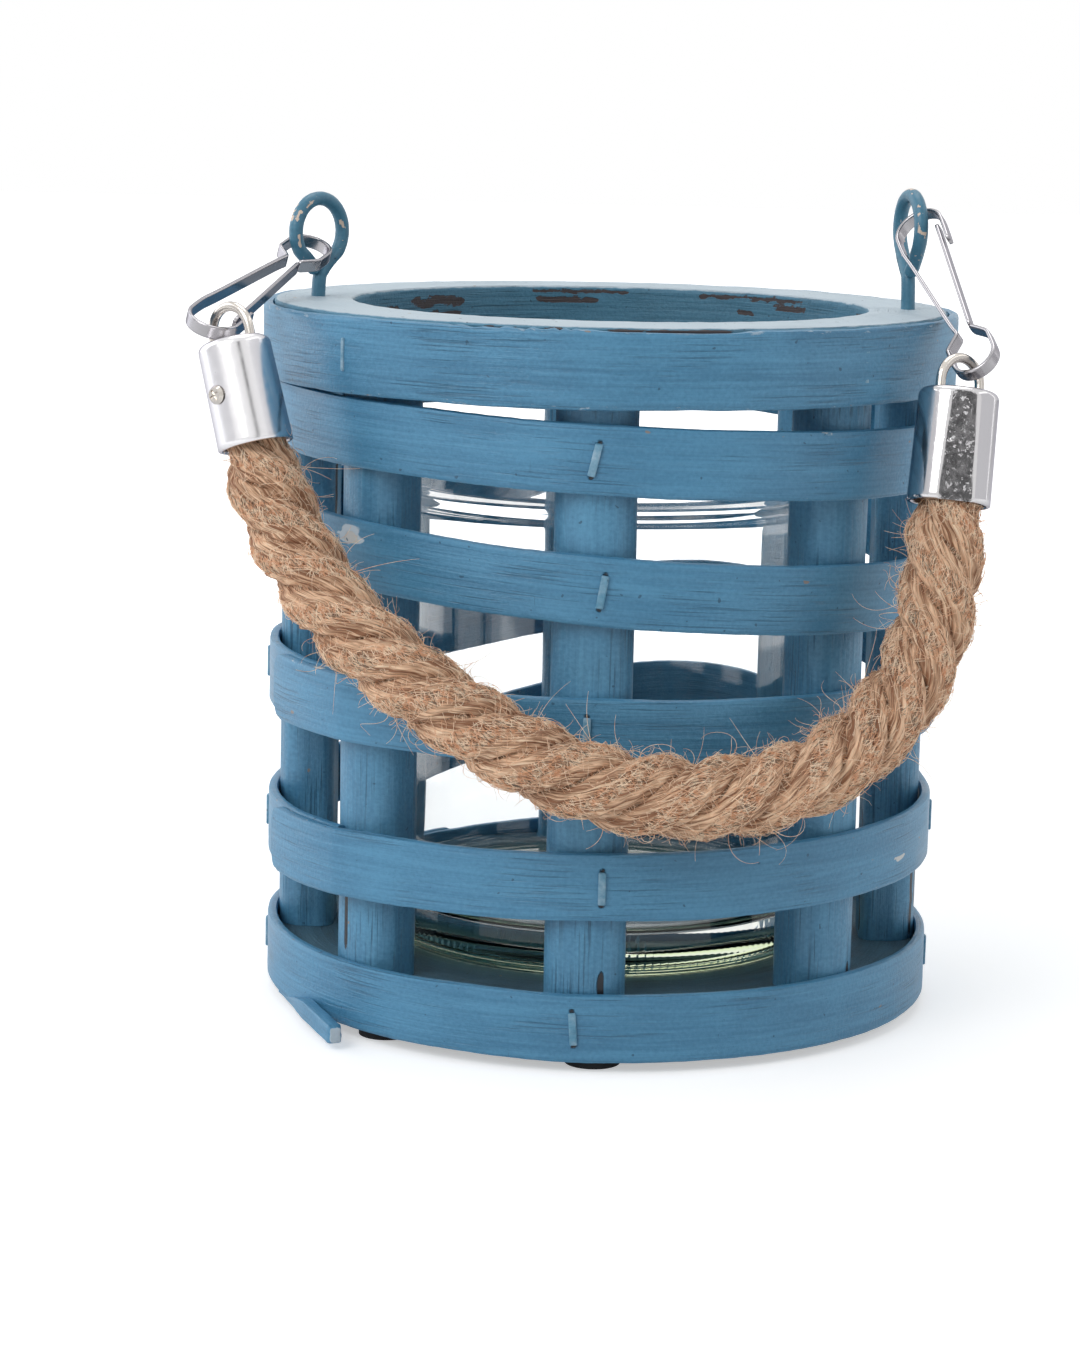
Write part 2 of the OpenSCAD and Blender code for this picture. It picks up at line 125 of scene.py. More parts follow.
def card_mesh(name: str, wide: float, high: float) -> bpy.types.Mesh:
    """A flat rectangle."""
    bm = bmesh.new()
    bmesh.ops.create_grid(bm, x_segments=1, y_segments=1, size=0.5)
    bmesh.ops.scale(bm, verts=bm.verts, vec=(wide, high, 1))
    mesh = bpy.data.meshes.new(name)
    bm.to_mesh(mesh)
    bm.free()
    return mesh


def spline(points: Sequence[Sequence[float]], split: int) -> List[Vector]:
    """Points of the smooth line through a list of points.

    Args:
        points: the points that the line goes through.
        split: how many steps each stretch is cut into.

    Returns:
        The points of the line, ends included.
    """
    p = [Vector(q) for q in points]
    last = len(p) - 1
    out: List[Vector] = []
    for i in range(last):
        a, b, c, d = p[max(0, i - 1)], p[i], p[i + 1], p[min(last, i + 2)]
        for k in range(split):
            t = k / split
            squared = (a * 2 - b * 5 + c * 4 - d) * t * t
            cubed = (b * 3 - a - c * 3 + d) * t**3
            out.append((b * 2 + (c - a) * t + squared + cubed) / 2)
    out.append(p[last])
    return out


class Line:
    """A line through points, with its length and frames that don't twist along it."""

    def __init__(self, points: Sequence[Vector], first_side: Vector) -> None:
        self.points = [Vector(p) for p in points]
        self.at = [0.0]
        for a, b in zip(self.points, self.points[1:]):
            self.at.append(self.at[-1] + (b - a).length)
        self.length = self.at[-1]
        n = len(self.points)
        after = self.points[1:] + self.points[-1:]
        before = self.points[:1] + self.points[:-1]
        self.ahead = [(b - a).normalized() for a, b in zip(before, after)]
        side = (first_side - self.ahead[0] * first_side.dot(self.ahead[0])).normalized()
        self.side = [side]
        for i in range(1, n):
            side = self.side[-1]
            side = (side - self.ahead[i] * side.dot(self.ahead[i])).normalized()
            self.side.append(side)

    def frame(self, s: float) -> Tuple[Vector, Vector, Vector, Vector]:
        """Place, way ahead and the two cross directions at a distance along the line."""
        s = clamp(s, 0.0, self.length)
        low, high = 0, len(self.at) - 1
        while high - low > 1:
            mid = (low + high) // 2
            if self.at[mid] <= s:
                low = mid
            else:
                high = mid
        t = (s - self.at[low]) / max(1e-9, self.at[high] - self.at[low])
        p = self.points[low].lerp(self.points[high], t)
        d = self.ahead[low].lerp(self.ahead[high], t).normalized()
        u = self.side[low].lerp(self.side[high], t)
        u = (u - d * u.dot(d)).normalized()
        return p, d, u, d.cross(u)


# ---------------------------------------------------------------- plan


class Stave(Enum):
    """Where each stave stands round the basket, in degrees from +X."""

    stave_front = 268.2
    stave_front_left = 223.5
    stave_left = 180.0
    stave_back_left = 145.0
    stave_back = 96.0
    stave_back_right = 42.0
    stave_right = 0.0
    stave_front_right = 316.0


@dataclass(frozen=True)
class Crack:
    """A dark split down a stave: from and to height, how far off its middle, and how far it wanders."""

    stave: Stave
    low: float
    high: float
    side: float
    wander: float

    def at(self, z: float, t: float) -> float:
        """How dark the stave is at a height and a distance from its middle."""
        ends = smooth(self.low - 0.5, self.low + 2, z) * smooth(self.high + 0.5, self.high - 2, z)
        off = abs(t - self.side - self.wander * drift(z * 0.2, self.side))
        return 1.5 * ends * smooth(0.55, 0.05, off)


@dataclass(frozen=True)
class HoopPlan:
    """One wrapped strip: middle height, slopes, rise at the back, end, lap, and its front staple's place."""

    name: str
    height: float
    slope: float
    back_slope: float
    rise: float
    end: float
    lap: float
    pin_shift: float
    pin_lean: float


@dataclass(frozen=True)
class Scar:
    """A torn or knocked place on the front of a hoop: where, how wide and high, how pale and how torn."""

    hoop: str
    x: float
    z: float
    wide: float
    high: float
    pale: float
    torn: float


@dataclass(frozen=True)
class ClipPlan:
    """Where one strip clip sits."""

    at: Point
    turns: Point
    body: str
    gate_body: str


@dataclass(frozen=True)
class FerrulePlan:
    """Where one ferrule and its wire ring sit."""

    at: Point
    turns: Pair
    ring_twist: float
    crown: float
    cap: float
    length: float
    twist: float


@dataclass(frozen=True)
class Plan:
    """Sizes of the lantern in millimetres."""

    rim_r: float = 52.0
    body_h: float = 105.2
    ring_h: float = 10.9
    hole_r: float = 38.6
    band_t: float = 1.5
    band_h: float = 11.0
    base_r: float = 48.9
    base_z: float = 1.4
    floor_z: float = 9.0
    stave_w: float = 11.5
    stave_t: float = 8.6
    stave_corner: float = 2.2
    stave_crown: float = 8.0
    stave_apex: float = 49.1
    hoop_in: float = 49.25
    hoop_t: float = 1.45
    hoop_w: float = 9.8
    lap_ramp: float = 16.0
    lap_gap: float = 0.06
    jar_r: float = 34.0
    jar_h: float = 73.8
    jar_wall: float = 2.2
    jar_floor: float = 6.0
    eye_wire: float = 1.05
    eye_r: float = 4.9
    clip_l: float = 40.0
    clip_w: float = 2.0
    clip_t: float = 0.55
    base_bow: float = 3.15
    hook_bow: float = 3.6
    neck: Pair = (1.2, 9.8)
    ferrule_r: float = 5.0
    ferrule_wall: float = 0.5
    ferrule_half: float = 0.7
    ferrule_flare: float = 0.2
    ferrule_edge: float = 1.2
    ring_wire: float = 0.7
    ring_bow: float = 3.6
    rope_d: float = 11.0
    rope_lay: float = 27.0

    @property
    def ring_z(self) -> float:
        """Underside of the top ring."""
        return self.body_h - self.ring_h

    @property
    def band_z(self) -> float:
        """Lower edge of the rim band."""
        return self.body_h - 0.2 - self.band_h


PLAN = Plan()
HOOPS = (
    HoopPlan("hoop_1", 87.0, -0.042, 0.0, 1.9, 112, 24, 0.0, -13.0),
    HoopPlan("hoop_2", 68.8, -0.068, 0.06, 6.0, 52, 22, 1.6, -10.0),
    HoopPlan("hoop_3", 48.8, -0.010, 0.15, 4.5, 202, 22, -0.3, 0.0),
    HoopPlan("hoop_4", 26.9, 0.018, 0.20, 9.1, 201, 22, 2.7, 0.0),
    HoopPlan("hoop_5", 6.5, -0.003, 0.07, 3.6, 120, 24, -1.4, 4.0),
)
CRACKS = (
    Crack(Stave.stave_front, 9.0, 15.0, 2.3, 0.3),
    Crack(Stave.stave_front_left, 12.0, 22.5, -1.1, 0.5),
    Crack(Stave.stave_front_right, 9.0, 13.0, 2.4, 0.4),
    Crack(Stave.stave_right, 9.0, 30.0, -3.4, 1.2),
    Crack(Stave.stave_right, 13.0, 26.0, -1.6, 0.8),
    Crack(Stave.stave_left, 72.0, 83.0, 3.9, 0.6),
    Crack(Stave.stave_back_right, 84.0, 94.0, -2.0, 0.6),
)
SCARS = (
    Scar("hoop_2", -36.2, 73.8, 1.7, 1.5, 1.1, 0.0),
    Scar("hoop_2", -35.9, 73.5, 1.3, 1.1, 0.0, 1.9),
    Scar("hoop_4", 44.5, 26.5, 1.3, 0.4, 0.0, 2.2),
)
# Bars of missing paint inside the ring: left end, right end, depth below the top and height.
BARE_BARS = (
    (-37.0, -32.6, 3.4, 1.7),
    (-31.0, -23.4, 2.3, 1.6),
    (-30.0, -24.0, 4.4, 1.2),
    (-11.8, -2.2, 2.3, 1.0),
    (-12.5, 2.8, 0.9, 0.8),
    (14.0, 30.0, 1.0, 0.8),
    (20.4, 22.6, 3.4, 0.9),
    (25.5, 30.5, 2.2, 0.8),
    (32.0, 35.4, 4.0, 1.2),
    (37.5, 39.5, 2.0, 1.6),
)
CLIPS = {
    "clip_left": ClipPlan((-44.26, 0.71, 112.96), (196.2, 19.2, -15.2), "clip_left", "gate_left"),
    "clip_right": ClipPlan((52.28, -34.77, 98.94), (30.4, 10.4, -32.9), "clip_right", "gate_right"),
}
FERRULES = {
    "ferrule_left": FerrulePlan((-53.67, -34.27, 103.33), (-12.5, -13.9), -40, 2.35, 2.5, 15.3, 80),
    "ferrule_right": FerrulePlan((49.5, -34.06, 98.43), (-14.3, 4.6), 35.7, 2.39, 2.2, 16.2, 5),
}
ROPE_ROUTE = (
    (-51.9, -35.8, 96.4), (-51.0, -36.6, 92.9), (-50.2, -37.3, 89.7), (-49.4, -38.0, 86.5),
    (-47.9, -39.1, 81.8), (-45.6, -41.0, 76.6), (-42.6, -43.8, 71.6), (-38.9, -47.0, 67.0),
    (-34.4, -50.4, 62.5), (-29.2, -53.3, 58.5), (-23.4, -55.8, 54.7), (-17.2, -57.8, 51.0),
    (-10.8, -59.3, 47.6), (-4.2, -60.1, 44.9), (2.6, -60.3, 43.0), (9.4, -59.6, 42.1),
    (16.2, -58.2, 42.0), (22.8, -56.2, 42.7), (29.1, -53.8, 44.4), (34.7, -50.8, 47.3),
    (39.4, -47.6, 51.4), (43.2, -44.9, 56.5), (45.7, -42.8, 62.3), (47.0, -41.4, 68.6),
    (47.6, -40.2, 74.8), (48.0, -38.6, 80.7), (48.3, -37.7, 83.9), (48.6, -36.9, 87.2),
)
TUFTS = ((0.76, 60.0), (0.76, 60.0), (0.01, 0.0), (0.985, 180.0), (0.30, 200.0), (0.52, 30.0), (0.90, 250.0))
ROPE_IN_LEFT = 3
ROPE_IN_RIGHT = 2


# ---------------------------------------------------------------- finishes


@dataclass(frozen=True)
class PaintFinish:
    """A brushed and rubbed paint on wood or wire."""

    slot: str
    light: Colour
    dark: Colour
    pale: Colour
    worn: Colour
    streak: float
    wear: float
    rough: float
    bump: float
    grain: float


@dataclass(frozen=True)
class MetalFinish:
    """A plated metal, with soft dents and pits."""

    slot: str
    colour: Colour
    rough: float
    pits: float
    dents: float


class Nodes:
    """Short words for the nodes of a material or a world."""

    def __init__(self, owner: bpy.types.ID) -> None:
        owner.use_nodes = True
        self.tree = owner.node_tree
        self.tree.nodes.clear()

    def add(self, kind: str, **settings: object) -> bpy.types.Node:
        """Adds a node and sets its properties."""
        node = self.tree.nodes.new(kind)
        for key, value in settings.items():
            setattr(node, key, value)
        return node

    def put(self, socket: Socket, value: object) -> None:
        """Links a socket, or sets its constant."""
        if isinstance(value, Socket):
            self.tree.links.new(value, socket)
        elif isinstance(value, tuple) and len(value) == 3 and socket.type == "RGBA":
            socket.default_value = (*value, 1.0)
        else:
            socket.default_value = value

    def joined(
        self, kind: str, inputs: Dict[object, object], output: object = 0, **settings: object
    ) -> Socket:
        """Adds a node, fills its inputs and gives one of its outputs."""
        node = self.add(kind, **settings)
        for key, value in inputs.items():
            self.put(node.inputs[key], value)
        return node.outputs[output]

    def uv(self) -> Socket:
        """The strip map, in metres along and across a piece."""
        return self.add("ShaderNodeUVMap", uv_map="strip").outputs[0]

    def place(self) -> Socket:
        """Object coordinates."""
        return self.add("ShaderNodeTexCoord").outputs["Object"]

    def value(self, name: str) -> Socket:
        """A number kept on the mesh."""
        return self.add("ShaderNodeAttribute", attribute_name=name).outputs["Fac"]

    def stretch(self, vector: Socket, scale: Point) -> Socket:
        """Scales a coordinate by a different amount each way."""
        node = self.add("ShaderNodeMapping")
        self.put(node.inputs["Vector"], vector)
        node.inputs["Scale"].default_value = scale
        return node.outputs[0]

    def noise(self, vector: Socket, scale: float, detail: float, rough: float, bend: float = 0.0) -> Socket:
        """Noise from 0 to 1."""
        inputs = {"Vector": vector, "Scale": scale, "Detail": detail, "Roughness": rough, "Distortion": bend}
        return self.joined("ShaderNodeTexNoise", inputs)

    def streaks(
        self, uv: Socket, along: float, across: float, detail: float, rough: float, bend: float = 0.0
    ) -> Socket:
        """Noise drawn out along the strip map, in lumps to the metre each way."""
        return self.noise(self.stretch(uv, (along, across, 1)), 1.0, detail, rough, bend)

    def math(self, operation: str, *values: object) -> Socket:
        """One sum of two or three numbers."""
        return self.joined("ShaderNodeMath", dict(enumerate(values)), operation=operation)

    def times(self, a: object, b: object) -> Socket:
        """The product of two numbers."""
        return self.math("MULTIPLY", a, b)

    def total(self, *parts: Tuple[object, float]) -> Socket:
        """The sum of several numbers, each times its own share."""
        out: object = 0.0
        for value, share in parts:
            out = self.math("MULTIPLY_ADD", value, share, out)
        return out

    def step(
        self, value: object, low: float, high: float, out_low: float = 0.0, out_high: float = 1.0
    ) -> Socket:
        """A smooth step between two values."""
        inputs = {"Value": value, "From Min": low, "From Max": high, "To Min": out_low, "To Max": out_high}
        return self.joined("ShaderNodeMapRange", inputs, interpolation_type="SMOOTHSTEP")

    def mix(self, share: object, a: object, b: object) -> Socket:
        """Mixes two colours."""
        return self.joined("ShaderNodeMix", {0: share, 6: a, 7: b}, 2, data_type="RGBA")

    def bump(self, height: object, distance: float, strength: float) -> Socket:
        """A bump from a height."""
        return self.joined("ShaderNodeBump", {"Strength": strength, "Distance": distance, "Height": height})

    def surface(self, **inputs: object) -> None:
        """The shader and the output."""
        named = {name.replace("_", " "): value for name, value in inputs.items()}
        self.output("ShaderNodeOutputMaterial", self.joined("ShaderNodeBsdfPrincipled", named))

    def output(self, kind: str, shader: Socket) -> None:
        """Ends the tree."""
        self.put(self.add(kind).inputs[0], shader)

    def seen_by(self, *rays: str) -> List[Socket]:
        """Numbers that are 1 for each of the named kinds of ray."""
        path = self.add("ShaderNodeLightPath")
        return [path.outputs[f"Is {ray} Ray"] for ray in rays]


class Finishes:
    """Makes each material once and hands it out by its name."""

    def __init__(self) -> None:
        self.made: Dict[str, bpy.types.Material] = {}

    def once(self, name: str, fill: Callable[[Nodes], None]) -> bpy.types.Material:
        """The material of a name, filled when it is first asked for."""
        if name not in self.made:
            self.made[name] = bpy.data.materials.new(name)
            fill(Nodes(self.made[name]))
        return self.made[name]

    def paint(self, finish: PaintFinish) -> bpy.types.Material:
        """Brushed paint with grain streaks, rubbed edges and flakes.

        Args:
            finish: its colours and how rubbed it is.

        Returns:
            The material.
        """
        return self.once(finish.slot, lambda n: self._fill_paint(n, finish))

    def _fill_paint(self, n: Nodes, finish: PaintFinish) -> None:
        """The paint's nodes: brush tone, grooves, pale and worn places, specks, staple holes and cracks, with
        painted shade, sheen and reflection carried in the same numbers.
        """
        uv = n.uv()
        deep = tuple(c * 0.5 for c in finish.dark)
        fine = n.streaks(uv, 70, 1900, 3.0, 0.6)
        coarse = n.streaks(uv, 18, 330, 4.0, 0.6, 0.4)
        blotch = n.noise(uv, 75.0, 3.0, 0.55)
        fleck = n.noise(uv, 1700.0, 2.0, 0.6)
        share = 0.30 * finish.streak
        tone = n.total((fine, share), (coarse, share), (blotch, 0.26), (fleck, 0.24))
        middle = share + 0.25
        colour = n.mix(n.step(tone, middle - 0.15, middle + 0.15), finish.dark, finish.light)

        groove = n.step(n.streaks(uv, 70, 3300, 2.0, 0.5, 0.2), 0.54, 0.68)
        groove = n.times(groove, n.step(n.streaks(uv, 60, 130, 2.0, 0.5), 0.44, 0.60))
        colour = n.mix(n.times(groove, finish.grain), colour, deep)

        # The pale number carries real scars and rubbed edges, and also the painted sheen on the ring's top
        # and the painted reflection under the jar.
        pale = n.total((n.value("pale"), 0.62), (n.noise(uv, 360.0, 4.0, 0.65), 0.5))
        colour = n.mix(n.step(pale, 0.47, 0.76), colour, finish.pale)
        rub = n.total((n.streaks(uv, 300, 900, 4.0, 0.65), 0.8), (n.value("wear"), 0.36 * finish.wear + 0.1))
        worn = n.step(rub, 0.70, 0.76)
        colour = n.mix(worn, colour, finish.worn)

        speck = n.step(n.noise(uv, 900.0, 1.0, 0.4), 0.745, 0.775)
        colour = n.mix(n.times(speck, 0.8), colour, deep)
        stain = n.step(n.streaks(uv, 420, 700, 1.0, 0.4), 0.785, 0.81)
        colour = n.mix(n.times(stain, 0.6), colour, STAIN)

        beyond = n.math("SUBTRACT", n.math("ABSOLUTE", n.value("pin_v")), STAPLE_HALF)
        beside = n.value("pin_u")
        away = n.math("ADD", n.times(beyond, beyond), n.times(beside, beside))
        hole = n.step(n.total((away, 1.0), (fleck, 0.35)), 0.20, 0.42, 1.0, 0.0)
        # The dark number holds the real cracks and also the painted shade on the staves; both take the crack
        # colour here.
        split = n.step(n.total((n.value("dark"), 1.0), (fine, 0.5)), 0.62, 0.82)
        dark = n.math("MAXIMUM", hole, split)
        colour = n.mix(dark, colour, CRACK_AND_SHADE)

        raised = n.total((fine, 0.6), (coarse, 0.8), (fleck, 0.42))
        height = n.total((raised, 1.0), (groove, -0.8 * finish.grain), (worn, -0.3), (dark, -1.2))
        n.surface(
            Base_Color=colour,
            Roughness=n.step(blotch, 0.3, 0.7, finish.rough - 0.05, finish.rough + 0.08),
            Normal=n.bump(height, 0.00022, finish.bump),
        )

    def metal(self, finish: MetalFinish) -> bpy.types.Material:
        """A plated metal with pits where it is worn.

        Args:
            finish: its colour, roughness, pits and dents.

        Returns:
            The material.
        """
        return self.once(finish.slot, lambda n: self._fill_metal(n, finish))

    def _fill_metal(self, n: Nodes, finish: MetalFinish) -> None:
        """The metal's nodes."""
        place = n.place()
        cover = n.times(n.step(n.noise(place, 260.0, 2.0, 0.5), 0.36, 0.60, 0.2, 1.0), n.value("wear"))
        pitted = n.times(n.step(n.noise(place, 1900.0, 3.0, 0.65), 0.56, 0.76), cover)
        dent = n.noise(place, 150.0, 2.0, 0.5)
        scuff = n.noise(place, 900.0, 3.0, 0.6)
        height = n.total((pitted, finish.pits), (dent, finish.dents), (scuff, 0.03))
        dark = tuple(c * 0.5 for c in finish.colour)
        n.surface(
            Base_Color=n.mix(n.step(pitted, 0.40, 0.55, 0.0, 0.3 * finish.pits), finish.colour, dark),
            Metallic=1.0,
            Specular_Tint=METAL_EDGE,
            Roughness=n.step(scuff, 0.3, 0.8, finish.rough, finish.rough + 0.08),
            Normal=n.bump(height, 0.00022, 0.45),
        )

    def glass(self) -> bpy.types.Material:
        """Clear jar glass, green where it is thick."""

        def fill(n: Nodes) -> None:
            n.surface(
                Base_Color=n.mix(n.value("pale"), GLASS_CLEAR, GLASS_THICK),
                Roughness=0.015,
                IOR=1.46,
                Transmission_Weight=1.0,
                Normal=n.bump(n.noise(n.place(), 45.0, 2.0, 0.5), 0.0005, 0.12),
            )

        return self.once("jar_glass", fill)

    def rubber(self) -> bpy.types.Material:
        """Matt black pads."""

        def fill(n: Nodes) -> None:
            grain = n.noise(n.place(), 900.0, 3.0, 0.6)
            colour = n.mix(grain, *RUBBER)
            n.surface(Base_Color=colour, Roughness=0.8, Normal=n.bump(grain, 0.0002, 0.3))

        return self.once("pad_black", fill)

    def strand(self) -> bpy.types.Material:
        """Jute strands, streaked along the rope, with painted shade in the grooves between them."""

        def fill(n: Nodes) -> None:
            uv = n.uv()
            hair = n.streaks(uv, 170, 2600, 3.0, 0.65, 0.8)
            lock = n.streaks(uv, 70, 700, 3.0, 0.6, 0.9)
            tone = n.total((hair, 0.5), (lock, 0.35), (n.noise(uv, 150.0, 3.0, 0.6), 0.15))
            colour = n.mix(n.step(tone, 0.42, 0.58), STRAND_BROWN, STRAND_TAN)
            colour = n.mix(n.step(hair, 0.56, 0.66, 0.0, 0.9), colour, STRAND_BRIGHT)
            # Painted shade: darker where the strand dips into the rope, from the depth kept in the wear
            # number.
            colour = n.mix(n.step(n.value("wear"), 0.10, 0.72, 0.9, 0.0), colour, STRAND_GROOVE_SHADE)
            height = n.total((hair, 1.0), (lock, 1.3))
            n.surface(Base_Color=colour, Roughness=0.8, Normal=n.bump(height, 0.0007, 0.9))

        return self.once("rope_jute", fill)

    def fibre(self, name: str, lift: float) -> bpy.types.Material:
        """Loose jute fibre: golden tan.

        Args:
            name: the material's name.
            lift: how light it is, where 1 is the lightest.

        Returns:
            The material.
        """

        def fill(n: Nodes) -> None:
            patch = n.noise(n.place(), 900.0, 3.0, 0.7)
            low, high = (tuple(c * lift for c in colour) for colour in (FIBRE_TAN, FIBRE_BRIGHT))
            n.surface(Base_Color=n.mix(n.step(patch, 0.40, 0.57), low, high), Roughness=0.7)

        return self.once(name, fill)


PAINT_LIGHT = (0.090, 0.287, 0.465)
PAINT_DARK = (0.048, 0.187, 0.327)
PAINT_PALE = (0.50, 0.60, 0.68)
RAW_WOOD = (0.56, 0.57, 0.56)
STAIN = (0.34, 0.19, 0.07)
# Near black for cracks and staple holes, and for the painted shade on the staves.
CRACK_AND_SHADE = (0.010, 0.014, 0.020)
GLASS_CLEAR = (0.965, 0.975, 0.975)
GLASS_THICK = (0.74, 0.90, 0.46)
RUBBER = ((0.012, 0.012, 0.014), (0.03, 0.03, 0.034))
STRAND_BROWN = (0.30, 0.135, 0.068)
STRAND_TAN = (1.0, 0.66, 0.43)
STRAND_BRIGHT = (1.0, 0.77, 0.55)
# Painted shade in the grooves between the strands.
STRAND_GROOVE_SHADE = (0.14, 0.062, 0.028)
FIBRE_TAN = (0.80, 0.44, 0.255)
FIBRE_BRIGHT = (1.0, 0.79, 0.585)
METAL_EDGE = (0.60, 0.59, 0.64)
STAPLE_HALF = 2.45

HOOP_PAINT = PaintFinish(
    slot="hoop_paint", light=PAINT_LIGHT, dark=PAINT_DARK, pale=PAINT_PALE, worn=RAW_WOOD,
    streak=1.0, wear=0.4, rough=0.36, bump=0.8, grain=0.5,
)
BAND_PAINT = PaintFinish(
    slot="band_paint", light=(0.090, 0.284, 0.458), dark=(0.042, 0.170, 0.298), pale=PAINT_PALE,
    worn=(0.30, 0.42, 0.53), streak=1.1, wear=0.4, rough=0.38, bump=0.9, grain=0.5,
)
STAVE_PAINT = PaintFinish(
    slot="stave_paint", light=(0.108, 0.318, 0.495), dark=(0.050, 0.180, 0.312), pale=PAINT_PALE,
    worn=(0.30, 0.38, 0.47), streak=0.7, wear=0.4, rough=0.42, bump=0.9, grain=0.6,
)
# Its pale colour is the painted sheen on the ring's upper face.
RING_PAINT = PaintFinish(
    slot="ring_paint", light=(0.075, 0.225, 0.335), dark=(0.041, 0.140, 0.212), pale=(0.47, 0.56, 0.62),
    worn=(0.046, 0.036, 0.038), streak=0.8, wear=0.35, rough=0.55, bump=0.9, grain=0.5,
)
# Its pale colour is the painted reflection under the jar.
BASE_PAINT = PaintFinish(
    slot="base_paint", light=(0.068, 0.165, 0.23), dark=(0.022, 0.063, 0.095), pale=(0.30, 0.37, 0.42),
    worn=(0.03, 0.03, 0.03), streak=0.6, wear=0.3, rough=0.6, bump=0.9, grain=0.6,
)
STAPLE_PAINT = PaintFinish(
    slot="staple_paint", light=(0.12, 0.33, 0.48), dark=(0.060, 0.21, 0.33), pale=(0.42, 0.55, 0.64),
    worn=(0.5, 0.52, 0.54), streak=0.3, wear=0.6, rough=0.4, bump=0.8, grain=0.4,
)
EYE_PAINT = PaintFinish(
    slot="eye_paint", light=(0.068, 0.222, 0.325), dark=(0.038, 0.142, 0.220), pale=(0.5, 0.6, 0.66),
    worn=(0.70, 0.55, 0.44), streak=0.2, wear=0.7, rough=0.38, bump=0.3, grain=0.15,
)
CLIP_NICKEL = MetalFinish("clip_nickel", (0.40, 0.39, 0.405), 0.2, 0.1, 0.30)
FERRULE_NICKEL = MetalFinish("ferrule_nickel", (0.64, 0.63, 0.64), 0.11, 0.35, 0.16)
SATIN_NICKEL = MetalFinish("satin_nickel", (0.78, 0.77, 0.785), 0.2, 0.0, 0.02)
RING_NICKEL = MetalFinish("ring_nickel", (0.66, 0.62, 0.57), 0.17, 0.1, 0.12)


# ---------------------------------------------------------------- meshes


NO_EXTRA = (0.0, 9.0, 9.0)


class Sheet:
    """A mesh made of grids, each bent into place, with a strip map and five numbers on its points."""

    def __init__(self, name: str) -> None:
        self.name = name
        self.bm = bmesh.new()
        self.uv = self.bm.loops.layers.uv.new("strip")
        self.wear = self.bm.verts.layers.float.new("wear")
        self.pale = self.bm.verts.layers.float.new("pale")
        self.extra = [self.bm.verts.layers.float.new(layer) for layer in ("dark", "pin_u", "pin_v")]

    def bend(
        self,
        along: int,
        across: int,
        place: Callable[[float, float], Spot],
        size: Pair,
        start: Pair = (0.0, 0.0),
    ) -> None:
        """Adds a grid and moves each of its points.

        Args:
            along: steps along the piece.
            across: steps across it or round its section.
            place: gives the spot for two shares from 0 to 1.
            size: what the strip map measures over the grid, in metres.
            start: where the strip map starts, in metres.
        """
        made = bmesh.ops.create_grid(self.bm, x_segments=along, y_segments=across, size=0.5)["verts"]
        low_x, high_x = min(v.co.x for v in made), max(v.co.x for v in made)
        low_y, high_y = min(v.co.y for v in made), max(v.co.y for v in made)
        share = {v: ((v.co.x - low_x) / (high_x - low_x), (v.co.y - low_y) / (high_y - low_y)) for v in made}
        for f in {f for v in made for f in v.link_faces}:
            for loop in f.loops:
                a, b = share[loop.vert]
                loop[self.uv].uv = (a * size[0] + start[0], b * size[1] + start[1])
        for v in made:
            x, y, z, *numbers = place(*share[v])
            v.co = (x * MM, y * MM, z * MM)
            self.mark(v, *numbers)
        bmesh.ops.remove_doubles(self.bm, verts=made, dist=1e-7)
        rim = [e for e in self.bm.edges if e.is_boundary]
        if rim:
            bmesh.ops.holes_fill(self.bm, edges=rim, sides=0)

    def mark(self, v: bmesh.types.BMVert, wear: float, pale: float, *extra: float) -> None:
        """Writes a point's numbers."""
        v[self.wear] = wear
        v[self.pale] = pale
        for layer, number in zip(self.extra, extra or NO_EXTRA):
            v[layer] = number

    def block(self, size: Point, matrix: Matrix, round_by: float) -> None:
        """Adds a block with rounded edges, half rubbed and half pale.

        Args:
            size: its three sides in millimetres.
            matrix: where it goes, in millimetres.
            round_by: how far its edges are rounded, in millimetres.
        """
        made = bmesh.ops.create_cube(self.bm, size=1.0)["verts"]
        bmesh.ops.scale(self.bm, verts=made, vec=Vector(size) * MM)
        edges = list({e for v in made for e in v.link_edges})
        bevel = bmesh.ops.bevel(
            self.bm, geom=edges, offset=round_by * MM, segments=3, profile=0.5, affect="EDGES", material=-1
        )
        verts = list({v for f in bevel["faces"] for v in f.verts} | {v for v in made if v.is_valid})
        in_metres = Matrix.Translation(matrix.translation * MM) @ matrix.to_3x3().to_4x4()
        bmesh.ops.transform(self.bm, matrix=in_metres, verts=verts)
        for v in verts:
            self.mark(v, 0.5, 0.5)
            for loop in v.link_loops:
                loop[self.uv].uv = (v.co.x + v.co.y, v.co.z)

    def finish(
        self, node: str, body: str, material: bpy.types.Material, sharp: float = 38.0, slot: str = ""
    ) -> bpy.types.Object:
        """Turns the sheet into an object that rides on a body in place of a CAD node.

        Args:
            node: the CAD node that it stands for.
            body: the part's body that it moves with.
            material: its material.
            sharp: edges that turn more than this many degrees stay crisp.
            slot: not used.

        Returns:
            The object.
        """
        bmesh.ops.recalc_face_normals(self.bm, faces=self.bm.faces)
        limit = math.radians(sharp)
        for e in self.bm.edges:
            e.smooth = not (len(e.link_faces) == 2 and e.calc_face_angle(0.0) > limit)
        for f in self.bm.faces:
            f.smooth = True
        mesh = bpy.data.meshes.new(self.name)
        self.bm.to_mesh(mesh)
        self.bm.free()
        obj = add_object(self.name, mesh)
        mesh.materials.append(material)
        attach(obj, body)
        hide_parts(node)
        log.info("%s: %d points", self.name, len(mesh.vertices))
        return obj


Section = List[Point]


